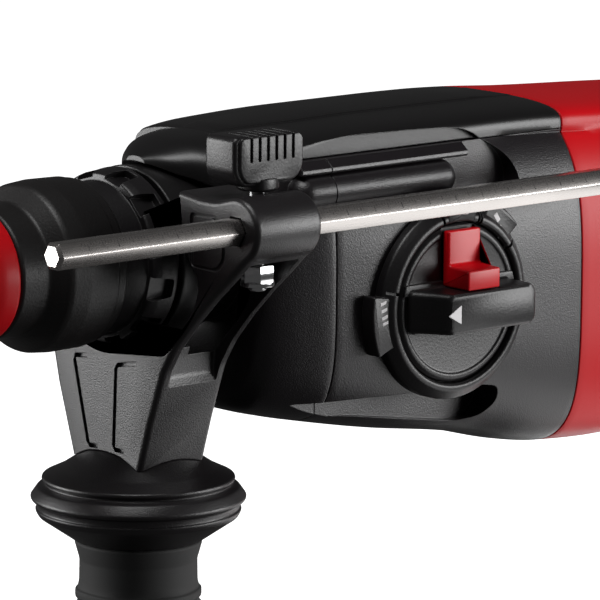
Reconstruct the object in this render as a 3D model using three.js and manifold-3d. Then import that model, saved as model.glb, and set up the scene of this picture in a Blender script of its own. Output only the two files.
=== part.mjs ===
// A pistol-grip rotary hammer: housings, drive, hammer mechanism, chuck, mode knob and side handle.
// Millimetres, +Z up. Everything is drawn in the spindle frame (+X runs from the nose to the rear along
// the spindle axis, X = 0 at the rear face of the chuck's notched ring, -Y is the operator's left), and
// one outer group moves it so that the origin is the centre of the side handle's flat foot.
import * as THREE from 'three';
import * as BufferGeometryUtils from 'three/addons/utils/BufferGeometryUtils.js';
import Module from 'manifold-3d';

const wasm = await Module();
wasm.setup();

// ---------- driving dimensions ----------
const GAP = 0.3;                 // clearance between separate pieces
const WALL = 2.6;                // moulded wall thickness
const FOOT_Z = -178;             // both handles end on this plane, so the tool can stand on them
const GRIP_FOOT_X = 269;         // middle of the pistol grip at its foot
const NECK_R = 21.5;             // standard 43 mm clamping neck
const NECK = { from: 0.4, to: 30 };
const SEAM_X = 46.7;             // joint between the front housing and the gear housing
const MOTOR_SEAM_X = 138;        // joint between the gear housing and the motor housing
const HANDLE_SEAM_X = 236;       // joint between the motor housing and the handle shells
const LIP_Z = 25.6;              // lower edge of the top cover
const LAYSHAFT_Z = -31.875;      // axis of the intermediate shaft
const MODULE_OUT = 1.25;         // layshaft pinion to spindle gear
const TEETH_SPINDLE = 40;
const TEETH_LAYSHAFT_PINION = 11;
const MODULE_IN = 0.85;          // motor pinion to layshaft gear
const TEETH_LAYSHAFT_GEAR = 41;
const TEETH_MOTOR = 8;
const MOTOR_Z = LAYSHAFT_Z + (TEETH_LAYSHAFT_GEAR + TEETH_MOTOR) * MODULE_IN / 2;
const WOBBLE_X = 110;            // centre of the wobble hub, on the layshaft
const SPINDLE_R = 13;            // spindle in the front bearing
const TUBE_R = 16.5;             // hammer tube
const KNOB = { x: 86.6, y: -42.5, z: -17.6, r: 22.5 };
const SIDE_X = 5.8;              // axis of the side handle, which also carries the origin
const BRACKET = { front: -6.4, back: 17 };
const ROD = { y: -54.5, z: 13.9, flats: 7, from: -69, to: 141 };
const WING = { x: 8, y: -47 };   // axis of the clamp screw
const GRIP_RAKE = 0.11;          // backward slope of the pistol grip, mm per mm down
const INLET_X = 281;             // cord inlet in the foot
const LOCK_ON = [257, -86];      // x and z of the lock-on button
const HANDLE_SCREWS = [[252, -122], [255, -150]];        // x and z of the handle's screws

// ---------- colours ----------
const black = (rough = 0.62) => new THREE.MeshStandardMaterial({ color: 0x242326, roughness: rough });
const red = () => new THREE.MeshStandardMaterial({ color: 0xc40c18, roughness: 0.38 });
const rubber = () => new THREE.MeshStandardMaterial({ color: 0x161617, roughness: 0.85 });
const steel = () => new THREE.MeshStandardMaterial({ color: 0xb9b6b1, roughness: 0.32, metalness: 1 });
const chrome = () => new THREE.MeshStandardMaterial({ color: 0xe6e6e8, roughness: 0.12, metalness: 1 });
const alloy = () => new THREE.MeshStandardMaterial({ color: 0x9a9c9e, roughness: 0.5, metalness: 0.9 });
const copper = () => new THREE.MeshStandardMaterial({ color: 0xb4622a, roughness: 0.4, metalness: 1 });
const carbon = () => new THREE.MeshStandardMaterial({ color: 0x303033, roughness: 0.6 });
const nylon = () => new THREE.MeshStandardMaterial({ color: 0xd8d4c8, roughness: 0.6 });

// ---------- solids ----------
const tool = new THREE.Group();
tool.position.set(-SIDE_X, 0, -FOOT_Z);

function solid(geometry) {
  const bare = geometry.clone();
  bare.deleteAttribute('normal');
  bare.deleteAttribute('uv');
  const merged = BufferGeometryUtils.mergeVertices(bare, 1e-4);
  const vertProperties = new Float32Array(merged.attributes.position.array);
  const triVerts = new Uint32Array(merged.index.array);
  if (signedVolume(vertProperties, triVerts) < 0) {
    for (let i = 0; i < triVerts.length; i += 3) {
      [triVerts[i], triVerts[i + 1]] = [triVerts[i + 1], triVerts[i]];
    }
  }
  return new wasm.Manifold(new wasm.Mesh({ numProp: 3, vertProperties, triVerts }));
}

function signedVolume(points, triangles) {
  const [a, b, c] = [new THREE.Vector3(), new THREE.Vector3(), new THREE.Vector3()];
  let sum = 0;
  for (let i = 0; i < triangles.length; i += 3) {
    a.fromArray(points, triangles[i] * 3);
    b.fromArray(points, triangles[i + 1] * 3);
    c.fromArray(points, triangles[i + 2] * 3);
    sum += a.dot(b.cross(c));
  }
  return sum;
}

function addPiece(name, body, material) {
  const { numProp, vertProperties, triVerts } = body.getMesh();
  const positions = new Float32Array(vertProperties.length / numProp * 3);
  for (let i = 0; i < positions.length / 3; i++) {
    positions.set(vertProperties.subarray(i * numProp, i * numProp + 3), i * 3);
  }
  const geometry = new THREE.BufferGeometry();
  geometry.setAttribute('position', new THREE.BufferAttribute(positions, 3));
  geometry.setIndex(new THREE.BufferAttribute(new Uint32Array(triVerts), 1));
  geometry.computeVertexNormals();
  const mesh = new THREE.Mesh(geometry, material);
  mesh.name = name;
  tool.add(mesh);
}

function box(x0, x1, y0, y1, z0, z1) {
  const geometry = new THREE.BoxGeometry(x1 - x0, y1 - y0, z1 - z0);
  return solid(geometry.translate((x0 + x1) / 2, (y0 + y1) / 2, (z0 + z1) / 2));
}

// A turned piece on an axis along X at (y, z); the profile is a closed list of [x, radius] points.
function turnX(profile, sides = 24, y = 0, z = 0) {
  const points = profile.map(([x, r]) => new THREE.Vector2(r, x));
  if (profile[0][1] > 0 || profile.at(-1)[1] > 0) points.push(points[0].clone());
  const geometry = new THREE.LatheGeometry(points, sides);
  geometry.rotateZ(-Math.PI / 2);
  return solid(geometry.translate(0, y, z));
}

// A turned piece on an upright axis at (x, y); the profile is a closed list of [z, radius] points.
function turnZ(profile, sides, x, y) {
  const points = profile.map(([z, r]) => new THREE.Vector2(r, z));
  if (profile[0][1] > 0 || profile.at(-1)[1] > 0) points.push(points[0].clone());
  return solid(new THREE.LatheGeometry(points, sides).rotateX(Math.PI / 2).translate(x, y, 0));
}

const rod = (x0, x1, r, sides, y, z) => turnX([[x0, 0], [x0, r], [x1, r], [x1, 0]], sides, y, z);
const pipe = (x0, x1, rOut, rIn, sides, y, z) =>
  turnX([[x0, rIn], [x0, rOut], [x1, rOut], [x1, rIn]], sides, y, z);
const post = (z0, z1, r, sides, x, y) => turnZ([[z0, 0], [z0, r], [z1, r], [z1, 0]], sides, x, y);

// A turned piece on an axis along Y at (x, z).
function turnY(profile, sides, x, z) {
  const points = profile.map(([y, r]) => new THREE.Vector2(r, y));
  if (profile[0][1] > 0 || profile.at(-1)[1] > 0) points.push(points[0].clone());
  return solid(new THREE.LatheGeometry(points, sides).translate(x, 0, z));
}

// An outline of [y, z] points carried along X.
function extrudeX(outline, x0, x1) {
  const shape = new THREE.Shape(outline.map(([y, z]) => new THREE.Vector2(y, z)));
  const geometry = new THREE.ExtrudeGeometry(shape, { depth: x1 - x0, bevelEnabled: false });
  // Shape x, y and depth become Y, Z and X
  const turn = new THREE.Matrix4().makeBasis(
    new THREE.Vector3(0, 1, 0), new THREE.Vector3(0, 0, 1), new THREE.Vector3(1, 0, 0));
  return solid(geometry.applyMatrix4(turn).translate(x0, 0, 0));
}

// An outline of [x, z] points carried along Y.
function extrudeY(outline, y0, y1) {
  const shape = new THREE.Shape(outline.map(([x, z]) => new THREE.Vector2(x, z)));
  const geometry = new THREE.ExtrudeGeometry(shape, { depth: y1 - y0, bevelEnabled: false });
  return solid(geometry.rotateX(Math.PI / 2).translate(0, y1, 0));
}

// A solid through rings of points, each ring a list of Vector3 with the same count, capped at both ends.
function loft(rings) {
  const count = rings[0].length;
  const points = rings.flat();
  const index = [];
  for (let k = 0; k < rings.length - 1; k++) {
    for (let i = 0; i < count; i++) {
      const [a, b] = [k * count + i, k * count + (i + 1) % count];
      index.push(a, b, b + count, a, b + count, a + count);
    }
  }
  for (const [ring, flip] of [[0, true], [rings.length - 1, false]]) {
    const middle = new THREE.Vector3();
    rings[ring].forEach((p) => middle.addScaledVector(p, 1 / count));
    points.push(middle);
    for (let i = 0; i < count; i++) {
      const [a, b] = [ring * count + i, ring * count + (i + 1) % count];
      index.push(points.length - 1, flip ? b : a, flip ? a : b);
    }
  }
  const geometry = new THREE.BufferGeometry().setFromPoints(points);
  geometry.setIndex(index);
  return solid(geometry);
}

// A rounded-rectangle ring: half sizes a and b, and a power that sets how square it is.
function superRing(count, power, a, b, place) {
  return Array.from({ length: count }, (_, i) => {
    const t = 2 * Math.PI * (i + 0.5) / count;
    const [c, s] = [Math.cos(t), Math.sin(t)];
    return place(a * Math.sign(c) * Math.abs(c) ** (2 / power), b * Math.sign(s) * Math.abs(s) ** (2 / power));
  });
}

// ---------- housing shape ----------
// x, half width, top and bottom of the main body
const BODY = [
  [26, 27, 32, -42], [30, 30, 32.4, -46], [38, 33.5, 32.8, -48.4], [46.7, 36, 33.1, -50.4],
  [74, 38.6, 33.7, -55.9], [105, 39.5, 33.7, -60.9], [125, 39.6, 33.5, -65.9], [138, 39.5, 33, -68],
  [161, 39, 31.6, -69.2], [205, 37.2, 29.8, -68.6], [236, 34.5, 27.6, -65.5],
];
const BODY_SIDES = 32;
const BODY_POWER = 3;

function bodyAt(x) {
  const k = Math.max(1, BODY.findIndex((row) => row[0] >= x));
  const [low, high] = [BODY[k - 1], BODY[k]];
  const t = (x - low[0]) / (high[0] - low[0]);
  return low.map((value, i) => value + t * (high[i] - value));
}

// The upper edges are squarer than the rest, as if a box of this half width stood inside: x, half width
const SHOULDER = [[26, 25.2], [40, 28.6], [60, 30], [110, 30.2], [138, 30.2], [161, 28.4], [205, 24], [236, 18]];
const SHOULDER_DEPTH = 8.2;

function shoulderAt(x) {
  const k = Math.min(SHOULDER.length - 1, Math.max(1, SHOULDER.findIndex((row) => row[0] >= x)));
  const [low, high] = [SHOULDER[k - 1], SHOULDER[k]];
  return low[1] + (x - low[0]) / (high[0] - low[0]) * (high[1] - low[1]);
}

function bodyLoft(x0, x1, inset) {
  const stations = [x0, ...BODY.map((row) => row[0]).filter((x) => x > x0 + 0.5 && x < x1 - 0.5), x1];
  return loft(stations.map((x) => {
    const [, width, top, bottom] = bodyAt(x);
    const square = shoulderAt(x) - inset;
    const foot = top - inset - SHOULDER_DEPTH;
    return superRing(BODY_SIDES, BODY_POWER, width - inset, (top - bottom) / 2 - inset, (y, height) => {
      const z = height + (top + bottom) / 2;
      const rise = THREE.MathUtils.clamp((z - foot) / SHOULDER_DEPTH, 0, 1);
      const edge = z > foot ? square * (1 - rise ** 5) ** 0.45 : 0;
      return new THREE.Vector3(x, Math.sign(y) * Math.max(Math.abs(y), edge), z);
    });
  }));
}

// A recess in one side (sign -1 or 1): an outline of [x, z] points, cut in from the outside as far as depth.
function recess(outline, depth, sign, grow) {
  const middle = (outline[0][1] + outline[1][1]) / 2;
  const widened = outline.map(([x, z]) => [x + (x > 70 ? grow : -grow), z + (z > middle ? grow : -grow)]);
  const [near, far] = [depth - grow, 46];
  return extrudeY(widened, sign > 0 ? near : -far, sign > 0 ? far : -near);
}

// Long recess under the top cover's edge, with its end near the motor
const sidePocket = (sign, grow) => recess([[30, 8], [30, 22.8], [98.4, 22.8], [98.4, 25.8], [105.6, 25.8],
  [110, 23.3], [113.5, 20], [115.2, 16], [115.2, 12], [112, 8]], 30.2, sign, grow);

// The same recess where it runs up into the side of the cover
const coverPocket = (sign) => recess([[34, 24], [34, 29], [45, 30.4], [60, 30.6], [80, 30.2], [94, 29.7], [99, 29],
  [103, 27.5], [106, 25.5], [106, 24]], 28.2, sign, 0);

// Air slot low on the side
const lowSlot = (sign, grow) => recess([[31, -45.8], [31, -44.2], [38, -42.8], [60, -42.6], [100, -43.2],
  [107, -44.5], [108, -49], [104, -53.5], [97, -54.5], [60, -48.6], [40, -46.6]], 27, sign, grow);

function addHousings() {
  // Front housing: neck, front wall and flare, open at the rear
  const frontSkin = bodyLoft(26, SEAM_X - GAP / 2, 0);
  const frontHollow = bodyLoft(29, SEAM_X + 1, WALL);
  const neck = rod(NECK.from, NECK.to, NECK_R, 32);
  const neckBore = rod(NECK.from - 1, NECK.to + 2, TUBE_R + 1.2, 24);
  let front = frontSkin.subtract(frontHollow).add(neck).subtract(neckBore);
  front = front.subtract(topCoverRegion(GAP / 2));
  addPiece('front_housing', front, black());

  // Gear housing with the side recesses
  const skin = bodyLoft(SEAM_X + GAP / 2, MOTOR_SEAM_X - GAP / 2, 0);
  const hollow = bodyLoft(SEAM_X, MOTOR_SEAM_X, WALL);
  let gearHousing = skin.subtract(hollow).subtract(topCoverRegion(GAP / 2));
  for (const sign of [-1, 1]) {
    for (const pocket of [sidePocket, lowSlot]) {
      const wallBlock = pocket(sign, WALL).intersect(skin).subtract(topCoverRegion(GAP / 2));
      gearHousing = gearHousing.add(wallBlock).subtract(pocket(sign, 0));
    }
    // The ledge under the cover's edge and the rounded duct below it
    const ledge = [[29, 25.45], [30.6, 25.45], [33.6, 23], [33.6, 21.9], [29, 21.9]];
    const duct = rod(47, 94, 5.2, 12, 30.6 * sign, 16.4).subtract(box(40, 100, -28, 28, 0, 30));
    gearHousing = gearHousing.add(extrudeX(ledge.map(([y, z]) => [y * sign, z]), 47.4, 98)).add(duct);
  }
  const knobHole = turnY([[-60, 0], [-60, 9], [-20, 9], [-20, 0]], 24, KNOB.x, KNOB.z);
  gearHousing = gearHousing.subtract(knobHole);
  addPiece('gear_housing', gearHousing, black());

  // Top cover with the visor over the clamping neck
  const coverSkin = bodyLoft(26, MOTOR_SEAM_X - GAP / 2, 0).subtract(bodyLoft(25.9, MOTOR_SEAM_X, WALL));
  let cover = coverSkin.intersect(topCoverRegion(-GAP / 2)).add(visor());
  for (const sign of [-1, 1]) {
    const wallBlock = box(33, 107, ...(sign > 0 ? [25.6, 28.6] : [-28.6, -25.6]), LIP_Z + GAP / 2, 31.6);
    cover = cover.add(wallBlock).subtract(coverPocket(sign));
  }
  addPiece('top_cover', cover.subtract(rod(0, 40, 25.2, 32)), black(0.5));

  // Motor housing with cooling slots on both sides
  let motorHousing = bodyLoft(MOTOR_SEAM_X + GAP / 2, HANDLE_SEAM_X - GAP / 2, 0)
    .subtract(bodyLoft(MOTOR_SEAM_X, HANDLE_SEAM_X, WALL));
  for (let i = 0; i < 6; i++) {
    const slotX = 206 + i * 4.6;
    motorHousing = motorHousing.subtract(box(slotX, slotX + 2.2, -60, 60, -34, -4));
  }
  addPiece('motor_housing', motorHousing, red());
}

// Everything above the cover's lower edge
function topCoverRegion(shrink) {
  return box(20, MOTOR_SEAM_X + 5, -60, 60, LIP_Z - shrink, 60);
}

// The cover's nose: an arch that hugs the clamped neck and narrows towards the chuck
function visor() {
  const section = (x, half, top, bottom) => {
    const shoulder = bottom + (top - bottom) * 0.5;
    return [[-half, bottom], [half, bottom], [half * 0.96, shoulder], [half * 0.6, top - 0.8], [0, top],
      [-half * 0.6, top - 0.8], [-half * 0.96, shoulder]].map(([y, z]) => new THREE.Vector3(x, y, z));
  };
  const arch = loft([[4.5, 4, 26.8, 24], [8, 10, 28.3, 23], [12.4, 15, 30, 21.4], [16, 19, 31, 19.6],
    [20.5, 22.5, 31.6, 18.4], [25.7, 25, 32, 18]].map((row) => section(...row)));
  const floor = LIP_Z + GAP / 2;
  const root = loft([[25, 24.6, 31.8, floor], [28, 25.4, 31.9, floor]].map((row) => section(...row)));
  return arch.subtract(rod(0, 30, 25.4, 36)).add(root);
}

// ---------- handle ----------
const gripX = (z) => GRIP_FOOT_X - (z - FOOT_Z) * GRIP_RAKE;

function handleBlank(inset) {
  const pod = [
    [236, 34.5, 27.6, -65.5], [252, 32.6, 25.6, -66], [268, 29.6, 20, -66.5], [282, 25.5, 9, -66],
    [291, 20, -4, -60], [296, 12, -20, -50],
  ];
  const podRings = pod.map(([x, width, top, bottom], i) => superRing(24, 2.6,
    width - inset, (top - bottom) / 2 - inset, (y, z) =>
      new THREE.Vector3(x - (i === pod.length - 1 ? inset : 0), y, z + (top + bottom) / 2)));
  const grip = [
    [-40, 24, 19], [-74, 22.8, 17.4], [-110, 22, 17], [-162, 23, 17.6], [-168, 26, 20], [FOOT_Z, 26.5, 20.5],
  ];
  const gripRings = grip.map(([z, a, b], i) => superRing(20, 2.5, a - inset, b - inset, (x, y) =>
    new THREE.Vector3(gripX(z) + x, y, z + (i === grip.length - 1 ? inset : 0))));
  return loft(podRings).add(loft(gripRings));
}

function addHandle() {
  let shell = handleBlank(0).subtract(handleBlank(WALL));
  shell = shell.intersect(box(HANDLE_SEAM_X + GAP / 2, 320, -60, 60, -200, 60));
  const triggerSlot = box(228, 248, -7, 7, -107, -70);
  const buttonHole = turnY([[-40, 0], [-40, 5.6], [-8, 5.6], [-8, 0]], 20, ...LOCK_ON);
  const inlet = post(-190, -170, 6.8, 20, INLET_X, 0);
  shell = shell.subtract(triggerSlot).subtract(buttonHole).subtract(inlet);
  // The soft grip lies in a shallow band round the back of the grip
  shell = shell.subtract(box(262, 320, -60, 60, -160, -72).subtract(handleBlank(WALL / 2)));
  const seat = handleBlank(0).intersect(box(262 + GAP, 320, -60, 60, -160 + GAP, -72 - GAP));
  addPiece('handle_shell_left', shell.intersect(box(200, 320, -60, -GAP / 2, -200, 60)), red());
  let rightShell = shell.intersect(box(200, 320, GAP / 2, 60, -200, 60));
  HANDLE_SCREWS.forEach(([x, z], i) => {
    rightShell = rightShell.subtract(turnY([[10, 0], [10, 3.8], [25, 3.8], [25, 0]], 16, x, z));
    addPiece(`handle_screw_${i + 1}`, turnY([[4, 0], [4, 2], [14.4, 2], [14.4, 3.4], [16.2, 3.4], [16.2, 0]],
      14, x, z), steel());
  });
  addPiece('handle_shell_right', rightShell, red());
  addPiece('soft_grip', seat.subtract(handleBlank(WALL / 2 - GAP)), rubber());

  addPiece('switch_module', box(255.5, 272, -7, 7, -112, -74), black());
  const trigger = extrudeY([[231, -71], [248, -71], [248, -103], [236, -105], [229.5, -99],
    [228.4, -88], [226.5, -78]], -6.4, 6.4);
  addPiece('trigger', trigger, black());
  addPiece('trigger_spring', pipe(248.3, 255.2, 3.2, 2, 12, 0, -88), steel());
  const lockOn = turnY([[-20.4, 0], [-20.4, 4.6], [-19.6, 5.1], [-10.6, 5.1], [-10.6, 0]], 20, ...LOCK_ON);
  addPiece('lock_on_button', lockOn, black());
  const gland = turnZ([[-177.5, 3.9], [-177.5, 6.4], [-164, 6.4], [-164, 3.9]], 20, INLET_X, 0);
  addPiece('cord_gland', gland, rubber());
}

// ---------- gears ----------
// A spur gear outline of straight-flanked teeth, thinned a little for backlash.
function gearSolid(teeth, module, x0, x1, y, z, phase, bore) {
  const pitch = teeth * module / 2;
  const [tip, root] = [pitch + 0.92 * module, pitch - 1.2 * module];
  const step = 2 * Math.PI / teeth;
  const outline = [];
  for (let i = 0; i < teeth; i++) {
    const middle = phase + i * step;
    for (const [share, radius] of [[-0.31, root], [-0.115, tip], [0.115, tip], [0.31, root]]) {
      const angle = middle + share * step;
      outline.push([radius * Math.cos(angle), radius * Math.sin(angle)]);
    }
  }
  let gear = extrudeX(outline, x0, x1);
  if (bore > 0) gear = gear.subtract(rod(x0 - 1, x1 + 1, bore, 24));
  return gear.translate(0, y, z);
}

// Two meshed gears, one right above the other: a tooth of the lower points up into a gap of the upper.
function addDrive() {
  const outX = [88, 97];
  const up = Math.PI / 2;
  const spindlePhase = -up + Math.PI / TEETH_SPINDLE;
  addPiece('spindle_gear', gearSolid(TEETH_SPINDLE, MODULE_OUT, ...outX, 0, 0, spindlePhase, TUBE_R + 0.35), steel());

  const layshaftBody = rod(79, 140, 4, 14, 0, LAYSHAFT_Z)
    .add(gearSolid(TEETH_LAYSHAFT_PINION, MODULE_OUT, outX[0] - 1, outX[1] + 1, 0, LAYSHAFT_Z, up, 0));
  addPiece('layshaft', layshaftBody, steel());
  const hub = turnX([[WOBBLE_X - 6.5, 4.3], [WOBBLE_X - 6.5, 8.7], [WOBBLE_X - 3.6, 10.2], [WOBBLE_X, 10.8],
    [WOBBLE_X + 3.6, 10.2], [WOBBLE_X + 6.5, 8.7], [WOBBLE_X + 6.5, 4.3]], 20, 0, LAYSHAFT_Z);
  addPiece('wobble_hub', hub, steel());
  const wheel = gearSolid(TEETH_LAYSHAFT_GEAR, MODULE_IN, 122, 131, 0, LAYSHAFT_Z, up, 4.35);
  addPiece('layshaft_gear', wheel, steel());

  const motorPhase = -up + Math.PI / TEETH_MOTOR;
  const armature = rod(132.4, 232, 4, 14, 0, MOTOR_Z)
    .add(gearSolid(TEETH_MOTOR, MODULE_IN, 121, 133, 0, MOTOR_Z, motorPhase, 0));
  addPiece('armature_shaft', armature, steel());

  addPiece('layshaft_bearing_front', pipe(79, 85, 9, 4.35, 16, 0, LAYSHAFT_Z), steel());
  addPiece('layshaft_bearing_rear', pipe(134, 140, 9, 4.35, 16, 0, LAYSHAFT_Z), steel());
  addPiece('motor_bearing_front', pipe(134, 141, 10, 4.35, 16, 0, MOTOR_Z), steel());
  addPiece('spindle_bearing_front', pipe(1.5, 15, 17.2, SPINDLE_R + 0.35, 24), steel());

  // Alloy plates that carry the bearings, cut to the inside of the housing
  const plate = (x0, x1) => bodyLoft(x0, x1, WALL + 0.5).subtract(topCoverRegion(WALL + 0.5))
    .subtract(sidePocket(-1, WALL + 0.5)).subtract(sidePocket(1, WALL + 0.5))
    .subtract(lowSlot(-1, WALL + 0.5)).subtract(lowSlot(1, WALL + 0.5));
  const frontPlate = plate(77, 86).subtract(rod(70, 90, TUBE_R + 0.4, 36))
    .subtract(rod(70, 90, 9.3, 24, 0, LAYSHAFT_Z));
  addPiece('bearing_plate', frontPlate, alloy());
  const rearPlate = plate(133.4, 137).subtract(rod(130, 142, 10.3, 24, 0, MOTOR_Z))
    .subtract(rod(130, 142, 9.3, 24, 0, LAYSHAFT_Z));
  addPiece('gearbox_flange', rearPlate, alloy());
}

function addMotor() {
  addPiece('rotor_core', pipe(162, 202, 19, 4.3, 20, 0, MOTOR_Z), steel());
  addPiece('commutator', pipe(208, 222, 11.5, 4.3, 20, 0, MOTOR_Z), copper());
  let fan = pipe(144, 147, 29, 4.3, 24, 0, MOTOR_Z);
  for (let i = 0; i < 9; i++) {
    const blade = box(146.5, 155, -0.8, 0.8, 12, 28.5).rotate([i * 40, 0, 0]);
    fan = fan.add(blade.translate(0, 0, MOTOR_Z));
  }
  addPiece('cooling_fan', fan, nylon());
  const stack = pipe(162, 202, 31, 19.7, 28, 0, MOTOR_Z).intersect(box(160, 210, -27, 27, -80, 60));
  addPiece('stator_core', stack, steel());
  const coil = pipe(156.6, 161.7, 28, 20, 24, 0, MOTOR_Z);
  addPiece('field_coil_front', coil, copper());
  addPiece('motor_bearing_rear', pipe(224.5, 230.5, 9.5, 4.35, 16, 0, MOTOR_Z), steel());
  for (const [side, sign] of [['left', -1], ['right', 1]]) {
    const [a, b] = sign > 0 ? [12, 26] : [-26, -12];
    addPiece(`carbon_brush_${side}`, box(211, 218, a, b, MOTOR_Z - 4, MOTOR_Z + 4), carbon());
    const [c, d] = sign > 0 ? [13.5, 30] : [-30, -13.5];
    const holder = box(208.5, 220.5, c, d, MOTOR_Z - 6.5, MOTOR_Z + 6.5)
      .subtract(box(210.7, 218.3, c - 1, d + 1, MOTOR_Z - 4.3, MOTOR_Z + 4.3));
    addPiece(`brush_holder_${side}`, holder, alloy());
  }
}

// ---------- hammer mechanism ----------
function addHammer() {
  const holder = turnX([[-58, 5.1], [-58, 10], [-20, 10], [-20, SPINDLE_R], [26, SPINDLE_R], [26, 7.2], [4, 7.2],
    [4, 5.1]], 24);
  const ballSlots = box(-43.6, -36.4, -14, 14, -3.4, 3.4);
  addPiece('tool_holder', holder.subtract(ballSlots), steel());
  const tube = turnX([[26.3, 7.2], [26.3, TUBE_R], [99, TUBE_R], [99, 13.7], [32, 13.7], [32, 7.2]], 28);
  addPiece('hammer_tube', tube, steel());
  const beat = turnX([[0, 0], [0, 3.8], [1, 4.7], [8.2, 4.7], [9.2, 6.8], [22, 6.8], [23, 5], [38, 5], [38, 0]], 24);
  addPiece('beat_piece', beat, steel());
  addPiece('striker', turnX([[50, 0], [50, 5.5], [57, 6], [58, 9.8], [80, 9.8], [80, 0]], 20), steel());
  let piston = turnX([[46, 10.2], [46, 13.3], [97, 13.3], [97, 0], [92, 0], [92, 10.2]], 24);
  piston = piston.add(box(96, 118, -6.5, 6.5, -5.5, 5.5));
  piston = piston.subtract(box(WOBBLE_X - 4.2, WOBBLE_X + 4.2, -4.2, 4.2, -8, 8));
  addPiece('piston', piston, alloy());
  const ring = pipe(WOBBLE_X - 4, WOBBLE_X + 4, 15, 11.4, 24, 0, LAYSHAFT_Z);
  const finger = post(LAYSHAFT_Z + 13, -1, 2, 12, WOBBLE_X, 0);
  const fingerBall = solid(new THREE.SphereGeometry(3.4, 14, 10).translate(WOBBLE_X, 0, 0));
  addPiece('wobble_finger', ring.add(finger).add(fingerBall), steel());
}

// ---------- chuck ----------
function addChuck() {
  const cap = turnX([[-49.7, 10.4], [-49.7, 18.3], [-55, 18], [-59.5, 16.6], [-62.6, 14], [-64, 11], [-64, 9.2],
    [-58.5, 9.2], [-58.5, 10.4]], 32);
  addPiece('front_cap', cap, red());
  addPiece('dust_seal', turnX([[-65, 5.6], [-65, 7.6], [-63.4, 8.8], [-58.8, 8.8], [-58.8, 5.6]], 20), rubber());
  const sleeve = turnX([[-49.3, 12.2], [-49.3, 18.1], [-39.4, 18.1], [-38.2, 21.9], [-36.4, 22.9], [-30, 23.6],
    [-19, 23.3], [-16.8, 22.8], [-16.8, 21.7], [-30, 21.7], [-30, 12.2]], 32);
  addPiece('chuck_sleeve', sleeve, rubber());
  addPiece('sleeve_spring', pipe(-29.7, -16.3, 16, 14, 16), steel());
  let ring = turnX([[-16, SPINDLE_R + GAP], [-16, 21.2], [-7.6, 21.2], [-7.6, 24.2], [0, 24.2],
    [0, SPINDLE_R + GAP]], 36);
  for (let i = 0; i < 12; i++) {
    const notch = box(-5.4, -1.6, -2.6, 2.6, 22.8, 26).rotate([i * 30 + 15, 0, 0]);
    ring = ring.subtract(notch);
  }
  addPiece('notched_ring', ring, black());
  for (const [side, sign] of [['left', -1], ['right', 1]]) {
    const ball = solid(new THREE.SphereGeometry(3, 12, 8).translate(-40, sign * 6.6, 0));
    addPiece(`locking_ball_${side}`, ball, steel());
  }
}

// ---------- mode selector ----------
function addSelector() {
  addPiece('mode_bezel', turnY([[-42, 22.9], [-43, 23.4], [-43, 24.8], [-40.3, 27.6], [-36.2, 27.6],
    [-36.2, 22.9]], 36, KNOB.x, KNOB.z).subtract(bodyLoft(40, 130, -0.3)), black());
  const disc = turnY([[KNOB.y, 0], [KNOB.y, KNOB.r], [-40.2, KNOB.r], [-40.2, 8.6], [-36.6, 8.6], [-36.6, 0]],
    36, KNOB.x, KNOB.z);
  const bar = extrudeY([[-18.5, -5.2], [-19.5, -3.5], [-19.5, 3.5], [-18.5, 5.2], [18.5, 5.2], [19.5, 3.5],
    [19.5, -3.5], [18.5, -5.2]].map(([x, z]) => [KNOB.x + x, KNOB.z - 0.6 + z]), -54, KNOB.y + 1);
  const buttonWell = box(KNOB.x - 6.5, KNOB.x + 6.5, -60, -41.2, KNOB.z + 4.9, KNOB.z + 21.4);
  addPiece('mode_knob', disc.add(bar).subtract(buttonWell), black());
  const button = extrudeX([[-44.9, 21], [-44.9, 11.5], [-53, 10.8], [-53, 5.3], [-42.4, 5.3], [-42.4, 21]]
    .map(([y, z]) => [y, KNOB.z + z]), KNOB.x - 6.1, KNOB.x + 6.1);
  addPiece('knob_lock_button', button, red());
}

// ---------- side handle ----------
function bracketOutline() {
  const arc = (r, from, to, count) => Array.from({ length: count }, (_, i) => {
    const t = THREE.MathUtils.degToRad(from + (to - from) * i / (count - 1));
    return [r * Math.cos(t), r * Math.sin(t)];
  });
  return [
    [13.4, -60], [20.7, -37.8], [24.5, -22], [29.4, -10], [31, -2], [25.2, -2],
    ...arc(25.2, -8, -120, 9),
    [-24.5, -23], [-31.9, -15.9], [-36.1, -10.4], [-38.6, -4], [-37.4, 0], [-32.4, 6], [-29.3, 15.2],
    [-30.5, 22.1], [-40, 20.9], [-46, 20.9],
    ...Array.from({ length: 8 }, (_, i) => {
      const t = THREE.MathUtils.degToRad(75 + i * 24);
      return [ROD.y + 8.9 * Math.cos(t), ROD.z + 8.9 * Math.sin(t)];
    }),
    [-51.6, -0.3], [-45.1, -5.8], [-37.3, -13.2], [-29.7, -21.4], [-24.9, -28.7], [-19, -44.6], [-14.2, -60],
  ];
}

function hexPrism(x0, x1, y, z, flats) {
  const corner = flats / Math.sqrt(3);
  const outline = Array.from({ length: 6 }, (_, i) => {
    const t = i * Math.PI / 3;
    return [y + corner * Math.cos(t), z + corner * Math.sin(t)];
  });
  return extrudeX(outline, x0, x1);
}

// Domed top of the handle's collar, which the bracket's foot sits on: height, radius
const DOME = [[-53.6, 4.4], [-53.8, 10], [-55.2, 14], [-57.8, 18], [-60.4, 22], [-62.3, 26]];

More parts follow.
